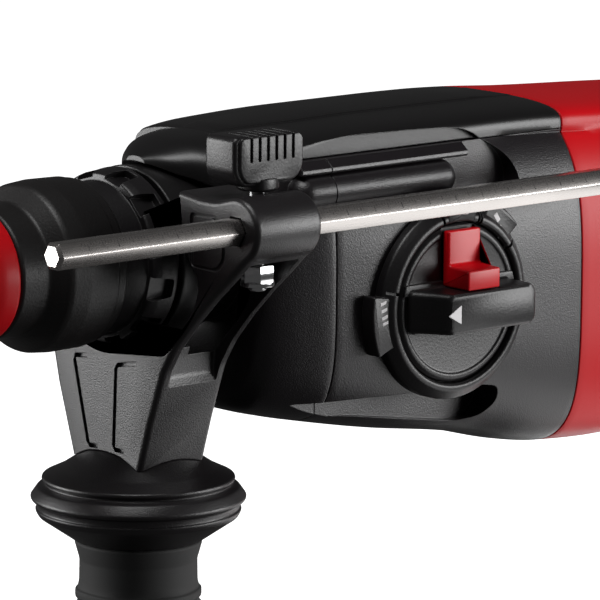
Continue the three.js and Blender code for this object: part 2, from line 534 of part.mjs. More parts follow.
function addSideHandle() {
  const seat = turnZ([[DOME[0][0] + GAP, 0], ...DOME.map(([z, r]) => [z + GAP, r]), [-62, 40], [-90, 40], [-90, 0]],
    32, SIDE_X, 0);
  let bracket = extrudeX(bracketOutline(), BRACKET.front, BRACKET.back).subtract(seat);
  // Room for the visor when the handle is turned, the rod's hexagonal hole and the arm's open channel
  bracket = bracket.subtract(pipe(4.1, 20, 34, 10, 36));
  bracket = bracket.subtract(hexPrism(-20, 30, ROD.y, ROD.z, ROD.flats + 0.7));
  const channel = extrudeX([[-60, -14], [-58, 4.8], [-54.5, 4.2], [-49, 4.2], [-42.4, 3.6], [-37, -3.6], [-31, -11],
    [-25.5, -18.5], [-22.5, -26], [-22, -31], [-25, -38], [-33, -44]], -3.2, 14);
  bracket = bracket.subtract(channel);
  bracket = bracket.subtract(post(-20, 60, 2.9, 20, WING.x, WING.y));
  bracket = bracket.subtract(post(-80, -28, 4.4, 16, SIDE_X, 0));
  addPiece('side_bracket', bracket, black());
  addPiece('clamp_band', pipe(1.6, 15.8, 24.4, NECK_R + 0.4, 36), black(0.45));

  const wing = extrudeY([[-9, 24.5], [-12, 28], [-12, 37], [-11, 38.2], [11, 38.2], [12, 37], [12, 28],
    [9, 24.5]].map(([x, z]) => [WING.x + x, z]), WING.y - 5, WING.y + 8);
  const collar = post(22.9, 25, 6.2, 20, WING.x, WING.y);
  const screwHole = post(15, 33, 2.9, 20, WING.x, WING.y);
  addPiece('wing_knob', wing.add(collar).subtract(screwHole), black());
  addPiece('clamp_screw', post(-4.6, 32.7, 2.5, 18, WING.x, WING.y), chrome());
  const nut = turnZ([[-3.2, 2.9], [-3.2, 4.6], [2.7, 4.6], [2.7, 2.9]], 6, WING.x, WING.y);
  addPiece('clamp_nut', nut, chrome());
  addPiece('depth_rod', hexPrism(ROD.from, ROD.to, ROD.y, ROD.z, ROD.flats), steel());

  const rim = [[-62.9, 26.7], [-64.4, 26], [-65.4, 28], [-68.2, 30], [-69.6, 28.5], [-73.4, 28.2], [-80, 18.4],
    [-80, 4.4]];
  addPiece('side_grip_collar', turnZ([...DOME, ...rim], 32, SIDE_X, 0), black());
  const gripProfile = [[-80.3, 0], [-80.3, 17.8], [-86, 16.2], [-104, 17.4], [-118, 18.4], [-132, 18],
    [-154, 16.3], [-166, 18.6], [-172, 21], [-176, 21], [FOOT_Z, 19], [FOOT_Z, 0]];
  const handleGrip = turnZ(gripProfile, 24, SIDE_X, 0).subtract(post(-130.3, -70, 4.4, 16, SIDE_X, 0));
  addPiece('side_grip', handleGrip, rubber());
  addPiece('handle_bolt', post(-130, -30, 4, 16, SIDE_X, 0), steel());
}

addHousings();
addHandle();
addDrive();
addMotor();
addHammer();
addChuck();
addSelector();
addSideHandle();

const hammer = new THREE.Group();
hammer.add(tool);
export default hammer;
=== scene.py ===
"""Looks of a pistol-grip rotary hammer: moulded housings, chuck, mode selector, side handle and depth rod.

Every shape is drawn in millimetres in the spindle frame (+X from the nose to the rear, X = 0 at the rear
face of the notched ring, -Y the operator's left) and moved to the row frame, in metres, when it is finished.
"""

from __future__ import annotations

import logging
import math
from dataclasses import dataclass, field
from enum import Enum
from typing import Callable, Sequence

import bpy
import bmesh
from mathutils import Matrix, Vector


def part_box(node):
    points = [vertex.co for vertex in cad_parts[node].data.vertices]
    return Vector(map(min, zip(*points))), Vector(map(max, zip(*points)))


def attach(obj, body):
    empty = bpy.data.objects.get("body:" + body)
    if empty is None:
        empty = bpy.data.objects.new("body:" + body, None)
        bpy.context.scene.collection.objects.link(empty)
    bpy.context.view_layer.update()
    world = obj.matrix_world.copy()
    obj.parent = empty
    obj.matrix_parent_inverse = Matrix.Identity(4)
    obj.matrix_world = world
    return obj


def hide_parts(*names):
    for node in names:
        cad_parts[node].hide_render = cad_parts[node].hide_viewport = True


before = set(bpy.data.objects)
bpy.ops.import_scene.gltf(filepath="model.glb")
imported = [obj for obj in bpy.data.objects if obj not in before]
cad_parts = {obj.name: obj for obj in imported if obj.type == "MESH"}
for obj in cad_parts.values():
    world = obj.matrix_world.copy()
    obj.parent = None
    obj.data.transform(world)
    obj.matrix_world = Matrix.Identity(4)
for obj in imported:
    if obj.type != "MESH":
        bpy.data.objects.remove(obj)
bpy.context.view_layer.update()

log = logging.getLogger("rotary_hammer")
MM = 0.001
WALL = 2.6      # housings, in mm
GAP = 0.3       # between separate pieces, in mm
BEYOND = 60.0   # half width that clears the body, for cutters, in mm
INSIDE = 0.02   # how far added details stop short of a piece's ends, in mm
CREASE = 32     # edges sharper than this stay sharp, in degrees

Pair = tuple[float, float]
Outline = Sequence[Pair]


class Axis(Enum):
    """The direction a turned or extruded shape is drawn along."""

    X = 0
    Y = 1
    Z = 2

    def place(self, along: float, u: float, v: float) -> Vector:
        """Point at a distance along this axis, with u and v on the other two in order."""
        if self is Axis.X:
            return Vector((along, u, v))
        if self is Axis.Y:
            return Vector((u, along, v))
        return Vector((u, v, along))

    def turn(self, degrees: float) -> Matrix:
        """Rotation about this axis."""
        return Matrix.Rotation(math.radians(degrees), 4, self.name)


class Side(Enum):
    """Operator's left or right."""

    LEFT = -1
    RIGHT = 1


# ----------------------------------------------------------------------------------------------------
# Outlines


def blend(a: float, b: float, t: float) -> float:
    """Value between a and b with a soft start and end."""
    t = min(1.0, max(0.0, t))
    return a + (b - a) * t * t * (3 - 2 * t)


def soften(outline: Outline, radius: float, steps: int = 4, closed: bool = True) -> list[Pair]:
    """Rounds the corners of an outline.

    Args:
        outline: corner points.
        radius: how far from each corner the rounding starts, in mm.
        steps: segments in each rounded corner.
        closed: whether the last point joins the first.

    Returns:
        The rounded outline.
    """
    points = [Vector(p) for p in outline]
    count = len(points)
    result: list[Pair] = []
    for i, corner in enumerate(points):
        if not closed and i in (0, count - 1):
            result.append((corner.x, corner.y))
            continue
        before, after = points[i - 1], points[(i + 1) % count]
        to_before, to_after = before - corner, after - corner
        reach = min(radius, to_before.length * 0.45, to_after.length * 0.45)
        if reach < 0.02 or to_before.normalized().dot(to_after.normalized()) < -0.995:
            result.append((corner.x, corner.y))
            continue
        start = corner + to_before.normalized() * reach
        end = corner + to_after.normalized() * reach
        for k in range(steps + 1):
            t = k / steps
            p = start * (1 - t) ** 2 + corner * 2 * t * (1 - t) + end * t ** 2
            result.append((p.x, p.y))
    return result


def area(outline: Outline) -> float:
    """Signed area of a closed outline, positive when it runs counter-clockwise."""
    return 0.5 * sum(a[0] * b[1] - b[0] * a[1] for a, b in zip(outline, list(outline[1:]) + [outline[0]]))


def inset(outline: Outline, depth: float) -> list[Pair]:
    """Closed outline moved inwards by depth, in mm."""
    sign = 1.0 if area(outline) > 0 else -1.0
    count = len(outline)
    result: list[Pair] = []
    for i in range(count):
        a, b, c = Vector(outline[i - 1]), Vector(outline[i]), Vector(outline[(i + 1) % count])
        first = (b - a).normalized() if (b - a).length > 1e-9 else (c - b).normalized()
        second = (c - b).normalized() if (c - b).length > 1e-9 else first
        normal = Vector((-(first.y + second.y), first.x + second.x)) * sign
        if normal.length < 1e-6:
            normal = Vector((-first.y, first.x)) * sign
        normal.normalize()
        stretch = max(0.5, normal.dot(Vector((-first.y, first.x)) * sign))
        p = b + normal * depth / stretch
        result.append((p.x, p.y))
    return result


def arc(radius: float, start: float, end: float, steps: int, centre: Pair = (0, 0)) -> list[Pair]:
    """Points on a circular arc between two angles in degrees."""
    angles = [math.radians(start + (end - start) * i / steps) for i in range(steps + 1)]
    return [(centre[0] + radius * math.cos(t), centre[1] + radius * math.sin(t)) for t in angles]


def superellipse(a: float, b: float, power: float, count: int) -> list[Pair]:
    """Rounded rectangle with half sizes a and b, evenly spread by angle."""
    result = []
    for i in range(count):
        t = 2 * math.pi * (i + 0.5) / count
        c, s = math.cos(t), math.sin(t)
        r = (abs(c) ** power + abs(s) ** power) ** (-1 / power)
        result.append((a * r * c, b * r * s))
    return result


def table_value(rows: Sequence[Sequence[float]], x: float, column: int) -> float:
    """Value at x in a table of stations, eased through the rows with a monotone cubic."""
    if x <= rows[0][0]:
        return rows[0][column]
    if x >= rows[-1][0]:
        return rows[-1][column]
    k = next(i for i, row in enumerate(rows) if row[0] >= x)
    slope = [
        (rows[i + 1][column] - rows[i][column]) / (rows[i + 1][0] - rows[i][0]) for i in range(len(rows) - 1)
    ]

    def tangent(i: int) -> float:
        """Slope at station i."""
        if i == 0 or i == len(rows) - 1:
            return slope[min(i, len(slope) - 1)]
        before, after = slope[i - 1], slope[i]
        return 0.0 if before * after <= 0 else 2 * before * after / (before + after)

    low, high = rows[k - 1], rows[k]
    width = high[0] - low[0]
    t = (x - low[0]) / width
    return (
        (2 * t ** 3 - 3 * t ** 2 + 1) * low[column]
        + (t ** 3 - 2 * t ** 2 + t) * width * tangent(k - 1)
        + (3 * t ** 2 - 2 * t ** 3) * high[column]
        + (t ** 3 - t ** 2) * width * tangent(k)
    )


# ----------------------------------------------------------------------------------------------------
# Solids


class Solid:
    """A closed mesh under construction, in millimetres in the spindle frame."""

    def __init__(self, points: Sequence[Vector], faces: Sequence[Sequence[int]]) -> None:
        """Makes the mesh and turns its faces outwards."""
        mesh = bpy.data.meshes.new("solid")
        mesh.from_pydata([tuple(p) for p in points], [], [tuple(f) for f in faces])
        bm = bmesh.new()
        bm.from_mesh(mesh)
        bmesh.ops.remove_doubles(bm, verts=bm.verts, dist=1e-5)
        bmesh.ops.recalc_face_normals(bm, faces=bm.faces)
        bm.to_mesh(mesh)
        bm.free()
        self.thing = bpy.data.objects.new("solid", mesh)
        bpy.context.scene.collection.objects.link(self.thing)

    def _combine(self, other: "Solid", operation: str) -> None:
        """Applies one boolean and uses the other solid up."""
        modifier = self.thing.modifiers.new("joint", "BOOLEAN")
        modifier.operation = operation
        modifier.solver = "MANIFOLD"
        modifier.object = other.thing
        self.settle()
        other.discard()

    def settle(self) -> "Solid":
        """Applies the modifiers."""
        graph = bpy.context.evaluated_depsgraph_get()
        mesh = bpy.data.meshes.new_from_object(self.thing.evaluated_get(graph))
        self.thing.modifiers.clear()
        old = self.thing.data
        self.thing.data = mesh
        bpy.data.meshes.remove(old)
        return self

    def discard(self) -> None:
        """Removes the solid."""
        mesh = self.thing.data
        bpy.data.objects.remove(self.thing)
        bpy.data.meshes.remove(mesh)

    def cut(self, *others: "Solid") -> "Solid":
        """Takes the others away."""
        for other in others:
            self._combine(other, "DIFFERENCE")
        return self

    def add(self, *others: "Solid") -> "Solid":
        """Joins the others on."""
        for other in others:
            self._combine(other, "UNION")
        return self

    def keep(self, other: "Solid") -> "Solid":
        """Keeps what lies inside the other."""
        self._combine(other, "INTERSECT")
        return self

    def move(self, matrix: Matrix) -> "Solid":
        """Moves the mesh itself."""
        self.thing.data.transform(matrix)
        return self

    def copy(self) -> "Solid":
        """Another solid of the same shape."""
        twin = Solid.__new__(Solid)
        twin.thing = self.thing.copy()
        twin.thing.data = self.thing.data.copy()
        bpy.context.scene.collection.objects.link(twin.thing)
        return twin

    def mould(self, shift: Callable[[Vector], Vector]) -> "Solid":
        """Moves each vertex to where shift says."""
        for vertex in self.thing.data.vertices:
            vertex.co = shift(vertex.co)
        return self


def loft(rings: Sequence[Sequence[Vector]]) -> Solid:
    """Solid through rings of points with the same count, closed at both ends."""
    count = len(rings[0])
    points = [p for ring in rings for p in ring]
    faces: list[list[int]] = []
    for k in range(len(rings) - 1):
        for i in range(count):
            j = (i + 1) % count
            faces.append([k * count + i, k * count + j, (k + 1) * count + j, (k + 1) * count + i])
    faces.append(list(range(count))[::-1])
    faces.append([(len(rings) - 1) * count + i for i in range(count)])
    return Solid(points, faces)


def extrude(outline: Outline, axis: Axis, low: float, high: float, edge: float = 0.0,
            steps: int = 3) -> Solid:
    """Outline carried along an axis, with rounded end edges.

    Args:
        outline: closed outline in the other two coordinates.
        axis: direction of the extrusion.
        low: where it starts.
        high: where it ends.
        edge: radius of the rounded end edges, in mm.
        steps: segments in each rounded edge.

    Returns:
        The solid.
    """
    levels = [(low, 0.0), (high, 0.0)]
    if edge > 0:
        turns = [math.radians(90 * k / steps) for k in range(steps + 1)]
        levels = [(low + edge * (1 - math.cos(t)), edge * (1 - math.sin(t))) for t in turns]
        levels += [(low + high - along, depth) for along, depth in reversed(levels)]
    rings = [[axis.place(along, u, v) for u, v in (inset(outline, depth) if depth else outline)]
             for along, depth in levels]
    return loft(rings)


def turned(profile: Outline, axis: Axis = Axis.X, at: Pair = (0, 0), sides: int = 96,
           relief: Callable[[float, float, float], float] | None = None) -> Solid:
    """Turned solid from a closed profile of (position, radius) points.

    Args:
        profile: points from the axis back to the axis, or a closed loop clear of it.
        axis: direction of the turning axis.
        at: the axis's other two coordinates.
        sides: segments round the axis.
        relief: radius at (angle, position, radius), for ribs and notches.

    Returns:
        The solid.
    """
    loop = all(r > 1e-6 for _, r in (profile[0], profile[-1]))
    points: list[Vector] = []
    rows: list[list[int]] = []
    for along, radius in profile:
        if radius < 1e-6:
            rows.append([len(points)] * sides)
            points.append(axis.place(along, at[0], at[1]))
            continue
        rows.append(list(range(len(points), len(points) + sides)))
        for i in range(sides):
            t = 2 * math.pi * (i + 0.5) / sides
            r = relief(t, along, radius) if relief else radius
            points.append(axis.place(along, at[0] + r * math.cos(t), at[1] + r * math.sin(t)))
    pairs = list(zip(rows, rows[1:])) + ([(rows[-1], rows[0])] if loop else [])
    faces = []
    for low, high in pairs:
        for i in range(sides):
            j = (i + 1) % sides
            face = list(dict.fromkeys([low[i], low[j], high[j], high[i]]))
            if len(face) > 2:
                faces.append(face)
    return Solid(points, faces)


def block(x0: float, x1: float, y0: float, y1: float, z0: float, z1: float, edge: float = 0.0) -> Solid:
    """Box with optional rounded edges."""
    corners = [(y0, z0), (y1, z0), (y1, z1), (y0, z1)]
    outline = soften(corners, edge, 3) if edge > 0 else corners
    return extrude(outline, Axis.X, x0, x1, edge)


def rod(axis: Axis, low: float, high: float, radius: float, at: Pair = (0, 0), sides: int = 48,
        edge: float = 0.0) -> Solid:
    """Round bar with optional chamfered ends."""
    if edge > 0:
        profile = [(low, 0), (low, radius - edge), (low + edge, radius), (high - edge, radius),
                   (high, radius - edge), (high, 0)]
    else:
        profile = [(low, 0), (low, radius), (high, radius), (high, 0)]
    return turned(profile, axis, at, sides)


def pipe(axis: Axis, low: float, high: float, outer: float, inner: float, at: Pair = (0, 0),
         sides: int = 96, edge: float = 0.0) -> Solid:
    """Tube with optional rounded edges."""
    profile = [(low, inner), (low, outer), (high, outer), (high, inner)]
    return turned(soften(profile, edge, 3) if edge > 0 else profile, axis, at, sides)


# ----------------------------------------------------------------------------------------------------
# Finishes


def new_node(tree: bpy.types.NodeTree, kind: str, values: dict[str, object] | None = None,
             **settings: object) -> bpy.types.Node:
    """Adds a shader node with its settings and the values of its sockets."""
    node = tree.nodes.new(kind)
    for name, value in settings.items():
        setattr(node, name, value)
    for name, value in (values or {}).items():
        node.inputs[name].default_value = value
    return node


def noise(tree: bpy.types.NodeTree, vector: bpy.types.NodeSocket, scale: float,
          detail: float) -> bpy.types.NodeSocket:
    """Noise texture's value output."""
    node = new_node(tree, "ShaderNodeTexNoise", {"Scale": scale, "Detail": detail})
    tree.links.new(vector, node.inputs["Vector"])
    return node.outputs["Fac"]


@dataclass(frozen=True)
class Finish:
    """A procedural material with grain, mottling and lightened edges.

    Attributes:
        label: material name.
        slot: the record's material slot; not used.
        colour: base colour, linear.
        rough: roughness.
        metal: metalness.
        grain: size of the surface grain, in mm.
        depth: height of the grain, in mm.
        mottle: how much the colour varies, 0 to 1.
        wear: how much lighter the edges are, 0 to 1.
        edge: radius of the rounded look on sharp edges, in mm.
        sheen: soft dusty light at grazing angles.
        brushed: stretch of the grain along X, 1 for none.
        specular: strength of the plastic's reflection.
    """

    label: str
    slot: str
    colour: tuple[float, float, float]
    rough: float
    metal: float = 0.0
    grain: float = 0.6
    depth: float = 0.02
    mottle: float = 0.15
    wear: float = 0.25
    edge: float = 0.35
    sheen: float = 0.0
    brushed: float = 1.0
    specular: float = 0.5

    def material(self) -> bpy.types.Material:
        """Builds the node tree, once for each finish."""
        known = bpy.data.materials.get(self.label)
        if known:
            return known
        material = bpy.data.materials.new(self.label)
        material.use_nodes = True
        tree = material.node_tree
        link = tree.links.new
        tree.nodes.clear()
        out = new_node(tree, "ShaderNodeOutputMaterial")
        shader = new_node(tree, "ShaderNodeBsdfPrincipled", {
            "Metallic": self.metal, "Sheen Weight": self.sheen, "Sheen Roughness": 0.45,
            "Specular IOR Level": self.specular})
        link(shader.outputs["BSDF"], out.inputs["Surface"])
        place = new_node(tree, "ShaderNodeTexCoord").outputs["Object"]
        stretch = new_node(tree, "ShaderNodeMapping", {"Scale": (1 / self.brushed, 1, 1)})
        link(place, stretch.inputs["Vector"])
        fine = noise(tree, stretch.outputs["Vector"], 1000 / self.grain, 3.0)
        broad = noise(tree, place, 55.0, 2.0)
        # Lighter where an edge turns over, from the difference between the rounded and the flat normal
        round_edge = new_node(tree, "ShaderNodeBevel", {"Radius": self.edge * MM}, samples=4)
        flat = new_node(tree, "ShaderNodeNewGeometry")
        turn = new_node(tree, "ShaderNodeVectorMath", operation="DOT_PRODUCT")
        link(round_edge.outputs["Normal"], turn.inputs[0])
        link(flat.outputs["Normal"], turn.inputs[1])
        worn = new_node(tree, "ShaderNodeMapRange", {
            "From Min": 0.985, "From Max": 0.75, "To Max": self.wear})
        link(turn.outputs["Value"], worn.inputs["Value"])
        # The base colour, mottled, and lighter on worn edges
        shades = (1 - self.mottle, 1 + self.mottle)
        dark, light = ((*(min(1.0, c * k) for c in self.colour), 1) for k in shades)
        mottled = new_node(tree, "ShaderNodeMix", {"A": dark, "B": light}, data_type="RGBA")
        link(broad, mottled.inputs["Factor"])
        edge_tint = (*(min(1.0, c * 1.6 + 0.10) for c in self.colour), 1)
        tinted = new_node(tree, "ShaderNodeMix", {"B": edge_tint}, data_type="RGBA")
        link(worn.outputs["Result"], tinted.inputs["Factor"])
        link(mottled.outputs["Result"], tinted.inputs["A"])
        link(tinted.outputs["Result"], shader.inputs["Base Color"])
        rough = new_node(tree, "ShaderNodeMapRange", {
            "To Min": max(0.03, self.rough * 0.85), "To Max": min(1.0, self.rough * 1.15)})
        link(fine, rough.inputs["Value"])
        link(rough.outputs["Result"], shader.inputs["Roughness"])
        bump = new_node(tree, "ShaderNodeBump", {"Strength": 0.9, "Distance": self.depth * MM})
        link(fine, bump.inputs["Height"])
        link(round_edge.outputs["Normal"], bump.inputs["Normal"])
        link(bump.outputs["Normal"], shader.inputs["Normal"])
        return material


HOUSING_BLACK = Finish("textured_black", "housing_black", (0.0075, 0.0055, 0.0070), 0.36, grain=0.42,
                       depth=0.10, wear=0.5, specular=0.6)
COVER_BLACK = Finish("satin_black", "cover_black", (0.0050, 0.0045, 0.0048), 0.36, grain=0.5,
                     depth=0.02, wear=0.45)
BRACKET_BLACK = Finish("bracket_black", "housing_black", (0.0085, 0.0070, 0.0080), 0.38, grain=0.42,
                       depth=0.10, wear=0.4, specular=0.65)
KNOB_BLACK = Finish("knob_black", "housing_black", (0.0070, 0.0060, 0.0068), 0.38, grain=0.7,
                    depth=0.06, wear=0.5)
HOUSING_RED = Finish("moulded_red", "housing_red", (0.58, 0.0015, 0.006), 0.42, grain=0.6, depth=0.012,
                     mottle=0.05, wear=0.10, specular=0.3)
BUTTON_RED = Finish("button_red", "housing_red", (0.60, 0.0015, 0.007), 0.34, grain=0.5, depth=0.012,
                    mottle=0.05, wear=0.35, specular=0.4)
RUBBER = Finish("soft_rubber", "soft_rubber", (0.0065, 0.0060, 0.0062), 0.55, grain=0.6, depth=0.05,
                wear=0.2, sheen=0.04)
SLEEVE_RUBBER = Finish("sleeve_rubber", "soft_rubber", (0.0062, 0.0052, 0.0052), 0.46, grain=0.7,
                       depth=0.07, wear=0.25)
ROD_STEEL = Finish("rod_steel", "steel", (0.56, 0.53, 0.51), 0.27, metal=1.0, grain=0.3, depth=0.003,
                   mottle=0.08, wear=0.3, brushed=14)
STEEL = Finish("ground_steel", "steel", (0.55, 0.54, 0.52), 0.3, metal=1.0, grain=0.25, depth=0.006,
               mottle=0.08)
CHROME = Finish("bright_chrome", "chrome", (0.82, 0.82, 0.83), 0.1, metal=1.0, grain=0.4, depth=0.001,
                mottle=0.03)
ALLOY = Finish("cast_alloy", "alloy", (0.45, 0.46, 0.47), 0.5, metal=0.9, grain=0.7, depth=0.05)
COPPER = Finish("copper_wire", "copper", (0.62, 0.25, 0.11), 0.35, metal=1.0, grain=0.4, depth=0.04,
                brushed=6)
CARBON = Finish("brush_carbon", "carbon", (0.03, 0.03, 0.032), 0.6, grain=0.3, depth=0.03)
NYLON = Finish("fan_nylon", "nylon", (0.72, 0.68, 0.58), 0.5, grain=0.5, depth=0.01, mottle=0.08)
MARK_WHITE = Finish("print_white", "nylon", (0.82, 0.80, 0.81), 0.5, grain=0.4, depth=0.003,
                    mottle=0.03, wear=0.0)
SCALE_INK = Finish("scale_ink", "carbon", (0.05, 0.045, 0.045), 0.5, grain=0.4, depth=0.002, wear=0.0)


# ----------------------------------------------------------------------------------------------------
# Placing pieces


@dataclass(frozen=True)
class Datum:
    """Where the spindle frame lies in the row frame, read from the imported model."""

    x: float
    y: float
    z: float

    @staticmethod
    def read() -> "Datum":
        """Spindle frame from the notched ring's rear face and the clamp band's middle."""
        ring_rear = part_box("notched_ring")[1].x
        band_low, band_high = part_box("clamp_band")
        return Datum(ring_rear, (band_low.y + band_high.y) / 2, (band_low.z + band_high.z) / 2)

    def matrix(self) -> Matrix:
        """From spindle-frame millimetres to row-frame metres."""
        return Matrix.Translation((self.x, self.y, self.z)) @ Matrix.Scale(MM, 4)


DATUM = Datum.read()


def place(solid: Solid, name: str, body: str, finish: Finish, *nodes: str) -> None:
    """Turns a solid into a finished piece.

    Args:
        solid: the shape, in the spindle frame.
        name: the piece's name.
        body: CAD body it rides on.
        finish: its finish.
        nodes: CAD nodes it stands for.
    """
    thing = solid.thing
    thing.name = name
    thing.data.name = name
    bm = bmesh.new()
    bm.from_mesh(thing.data)
    bmesh.ops.remove_doubles(bm, verts=bm.verts, dist=2e-4)
    bmesh.ops.dissolve_degenerate(bm, edges=bm.edges, dist=1e-4)
    limit = math.radians(CREASE)
    for face in bm.faces:
        face.smooth = True
    for edge in bm.edges:
        edge.smooth = len(edge.link_faces) != 2 or edge.calc_face_angle(0.0) < limit
    bm.to_mesh(thing.data)
    bm.free()
    thing.data.transform(DATUM.matrix())
    thing.data.materials.clear()
    thing.data.materials.append(finish.material())
    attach(thing, body)
    if nodes:
        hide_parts(*nodes)
    log.info("%s: %d faces on %s", name, len(thing.data.polygons), body)


# ----------------------------------------------------------------------------------------------------
# Housings


@dataclass
class BodyShape:
    """Outer shape of the main body.

    Attributes:
        stations: x, half width, top and bottom.
        shoulder: x and half width of the squared upper edges.
        power: how square the section's upper half is.
        lower_power: how square its lower half is.
        shoulder_depth: how far down the squared edges reach, in mm.
        lip_z: height of the joint under the top cover.
    """

    stations: Sequence[Sequence[float]] = (
        (26, 27, 32, -42), (30, 30, 32.4, -46), (38, 33.5, 32.8, -48.4), (46.7, 36, 33.1, -50.4),
        (74, 38.6, 33.7, -55.9), (105, 39.5, 33.7, -60.9), (125, 39.6, 33.5, -65.9), (138, 39.5, 33, -68),
        (161, 39, 31.6, -69.2), (205, 37.2, 29.8, -68.6), (236, 34.5, 27.6, -65.5),
    )
    shoulder: Sequence[Sequence[float]] = (
        (26, 25.2), (40, 28.6), (60, 30), (110, 30.2), (138, 30.2), (161, 28.4), (205, 24), (236, 18),
    )
    power: float = 3.0
    lower_power: float = 4.0
    shoulder_depth: float = 8.2
    lip_z: float = 25.6

    def ring(self, x: float, depth: float, count: int) -> list[Vector]:
        """Section at x, moved inwards by depth."""
        width, top, bottom = (table_value(self.stations, x, k) for k in (1, 2, 3))
        square = table_value(self.shoulder, x, 1) - depth
        foot = top - depth - self.shoulder_depth
        middle = (top + bottom) / 2
        ring = []
        half, rise_half = width - depth, (top - bottom) / 2 - depth
        upper = superellipse(half, rise_half, self.power, count)
        lower = superellipse(half, rise_half, self.lower_power, count)
        for y, height in (a if a[1] > 0 else b for a, b in zip(upper, lower)):
            z = height + middle
            rise = min(1.0, max(0.0, (z - foot) / self.shoulder_depth))
            edge = square * (1 - rise ** 5) ** 0.45 if z > foot else 0.0
            ring.append(Vector((x, math.copysign(max(abs(y), edge), y), z)))
        return ring

    def skin(self, start: float, end: float, depth: float = 0.0, count: int = 192, step: float = 2.5,
             front_edge: float = 0.0, rear_edge: float = 0.0) -> Solid:
        """Length of the body between two stations, with rounded end edges."""
        count_along = max(2, round((end - start) / step))
        first, last = start + front_edge, end - rear_edge
        levels = [(first + (last - first) * k / count_along, depth) for k in range(count_along + 1)]
        turns = [math.radians(30 * k) for k in range(1, 4)]
        if front_edge > 0:
            rounded = [(start + front_edge * (1 - math.cos(t)), depth + front_edge * (1 - math.sin(t)))
                       for t in [0.0] + turns]
            levels = rounded + levels[1:]
        if rear_edge > 0:
            levels += [(end - rear_edge * (1 - math.sin(t)), depth + rear_edge * (1 - math.cos(t)))
                       for t in turns]
        return loft([self.ring(x, inward, count) for x, inward in levels])

    def above_lip(self, offset: float) -> Solid:
        """Everything above the top cover's joint."""
        return block(20, 145, -BEYOND, BEYOND, self.lip_z + offset, 60)


BODY = BodyShape()


@dataclass
class Recess:
    """A recess in both sides of the body: an outline in x and z, cut in as far as a half width."""

    outline: Sequence[Pair]
    depth: float
    corner: float = 2.0

    def cutter(self, side: Side, grow: float = 0.0) -> Solid:
        """Solid that cuts the recess in one side."""
        outline = soften(self.outline, self.corner, 5)
        if grow:
            outline = inset(outline, -grow)
        near, far = self.depth - grow, 46.0
        low, high = (near, far) if side is Side.RIGHT else (-far, -near)
        return extrude(outline, Axis.Y, low, high, 0.0)


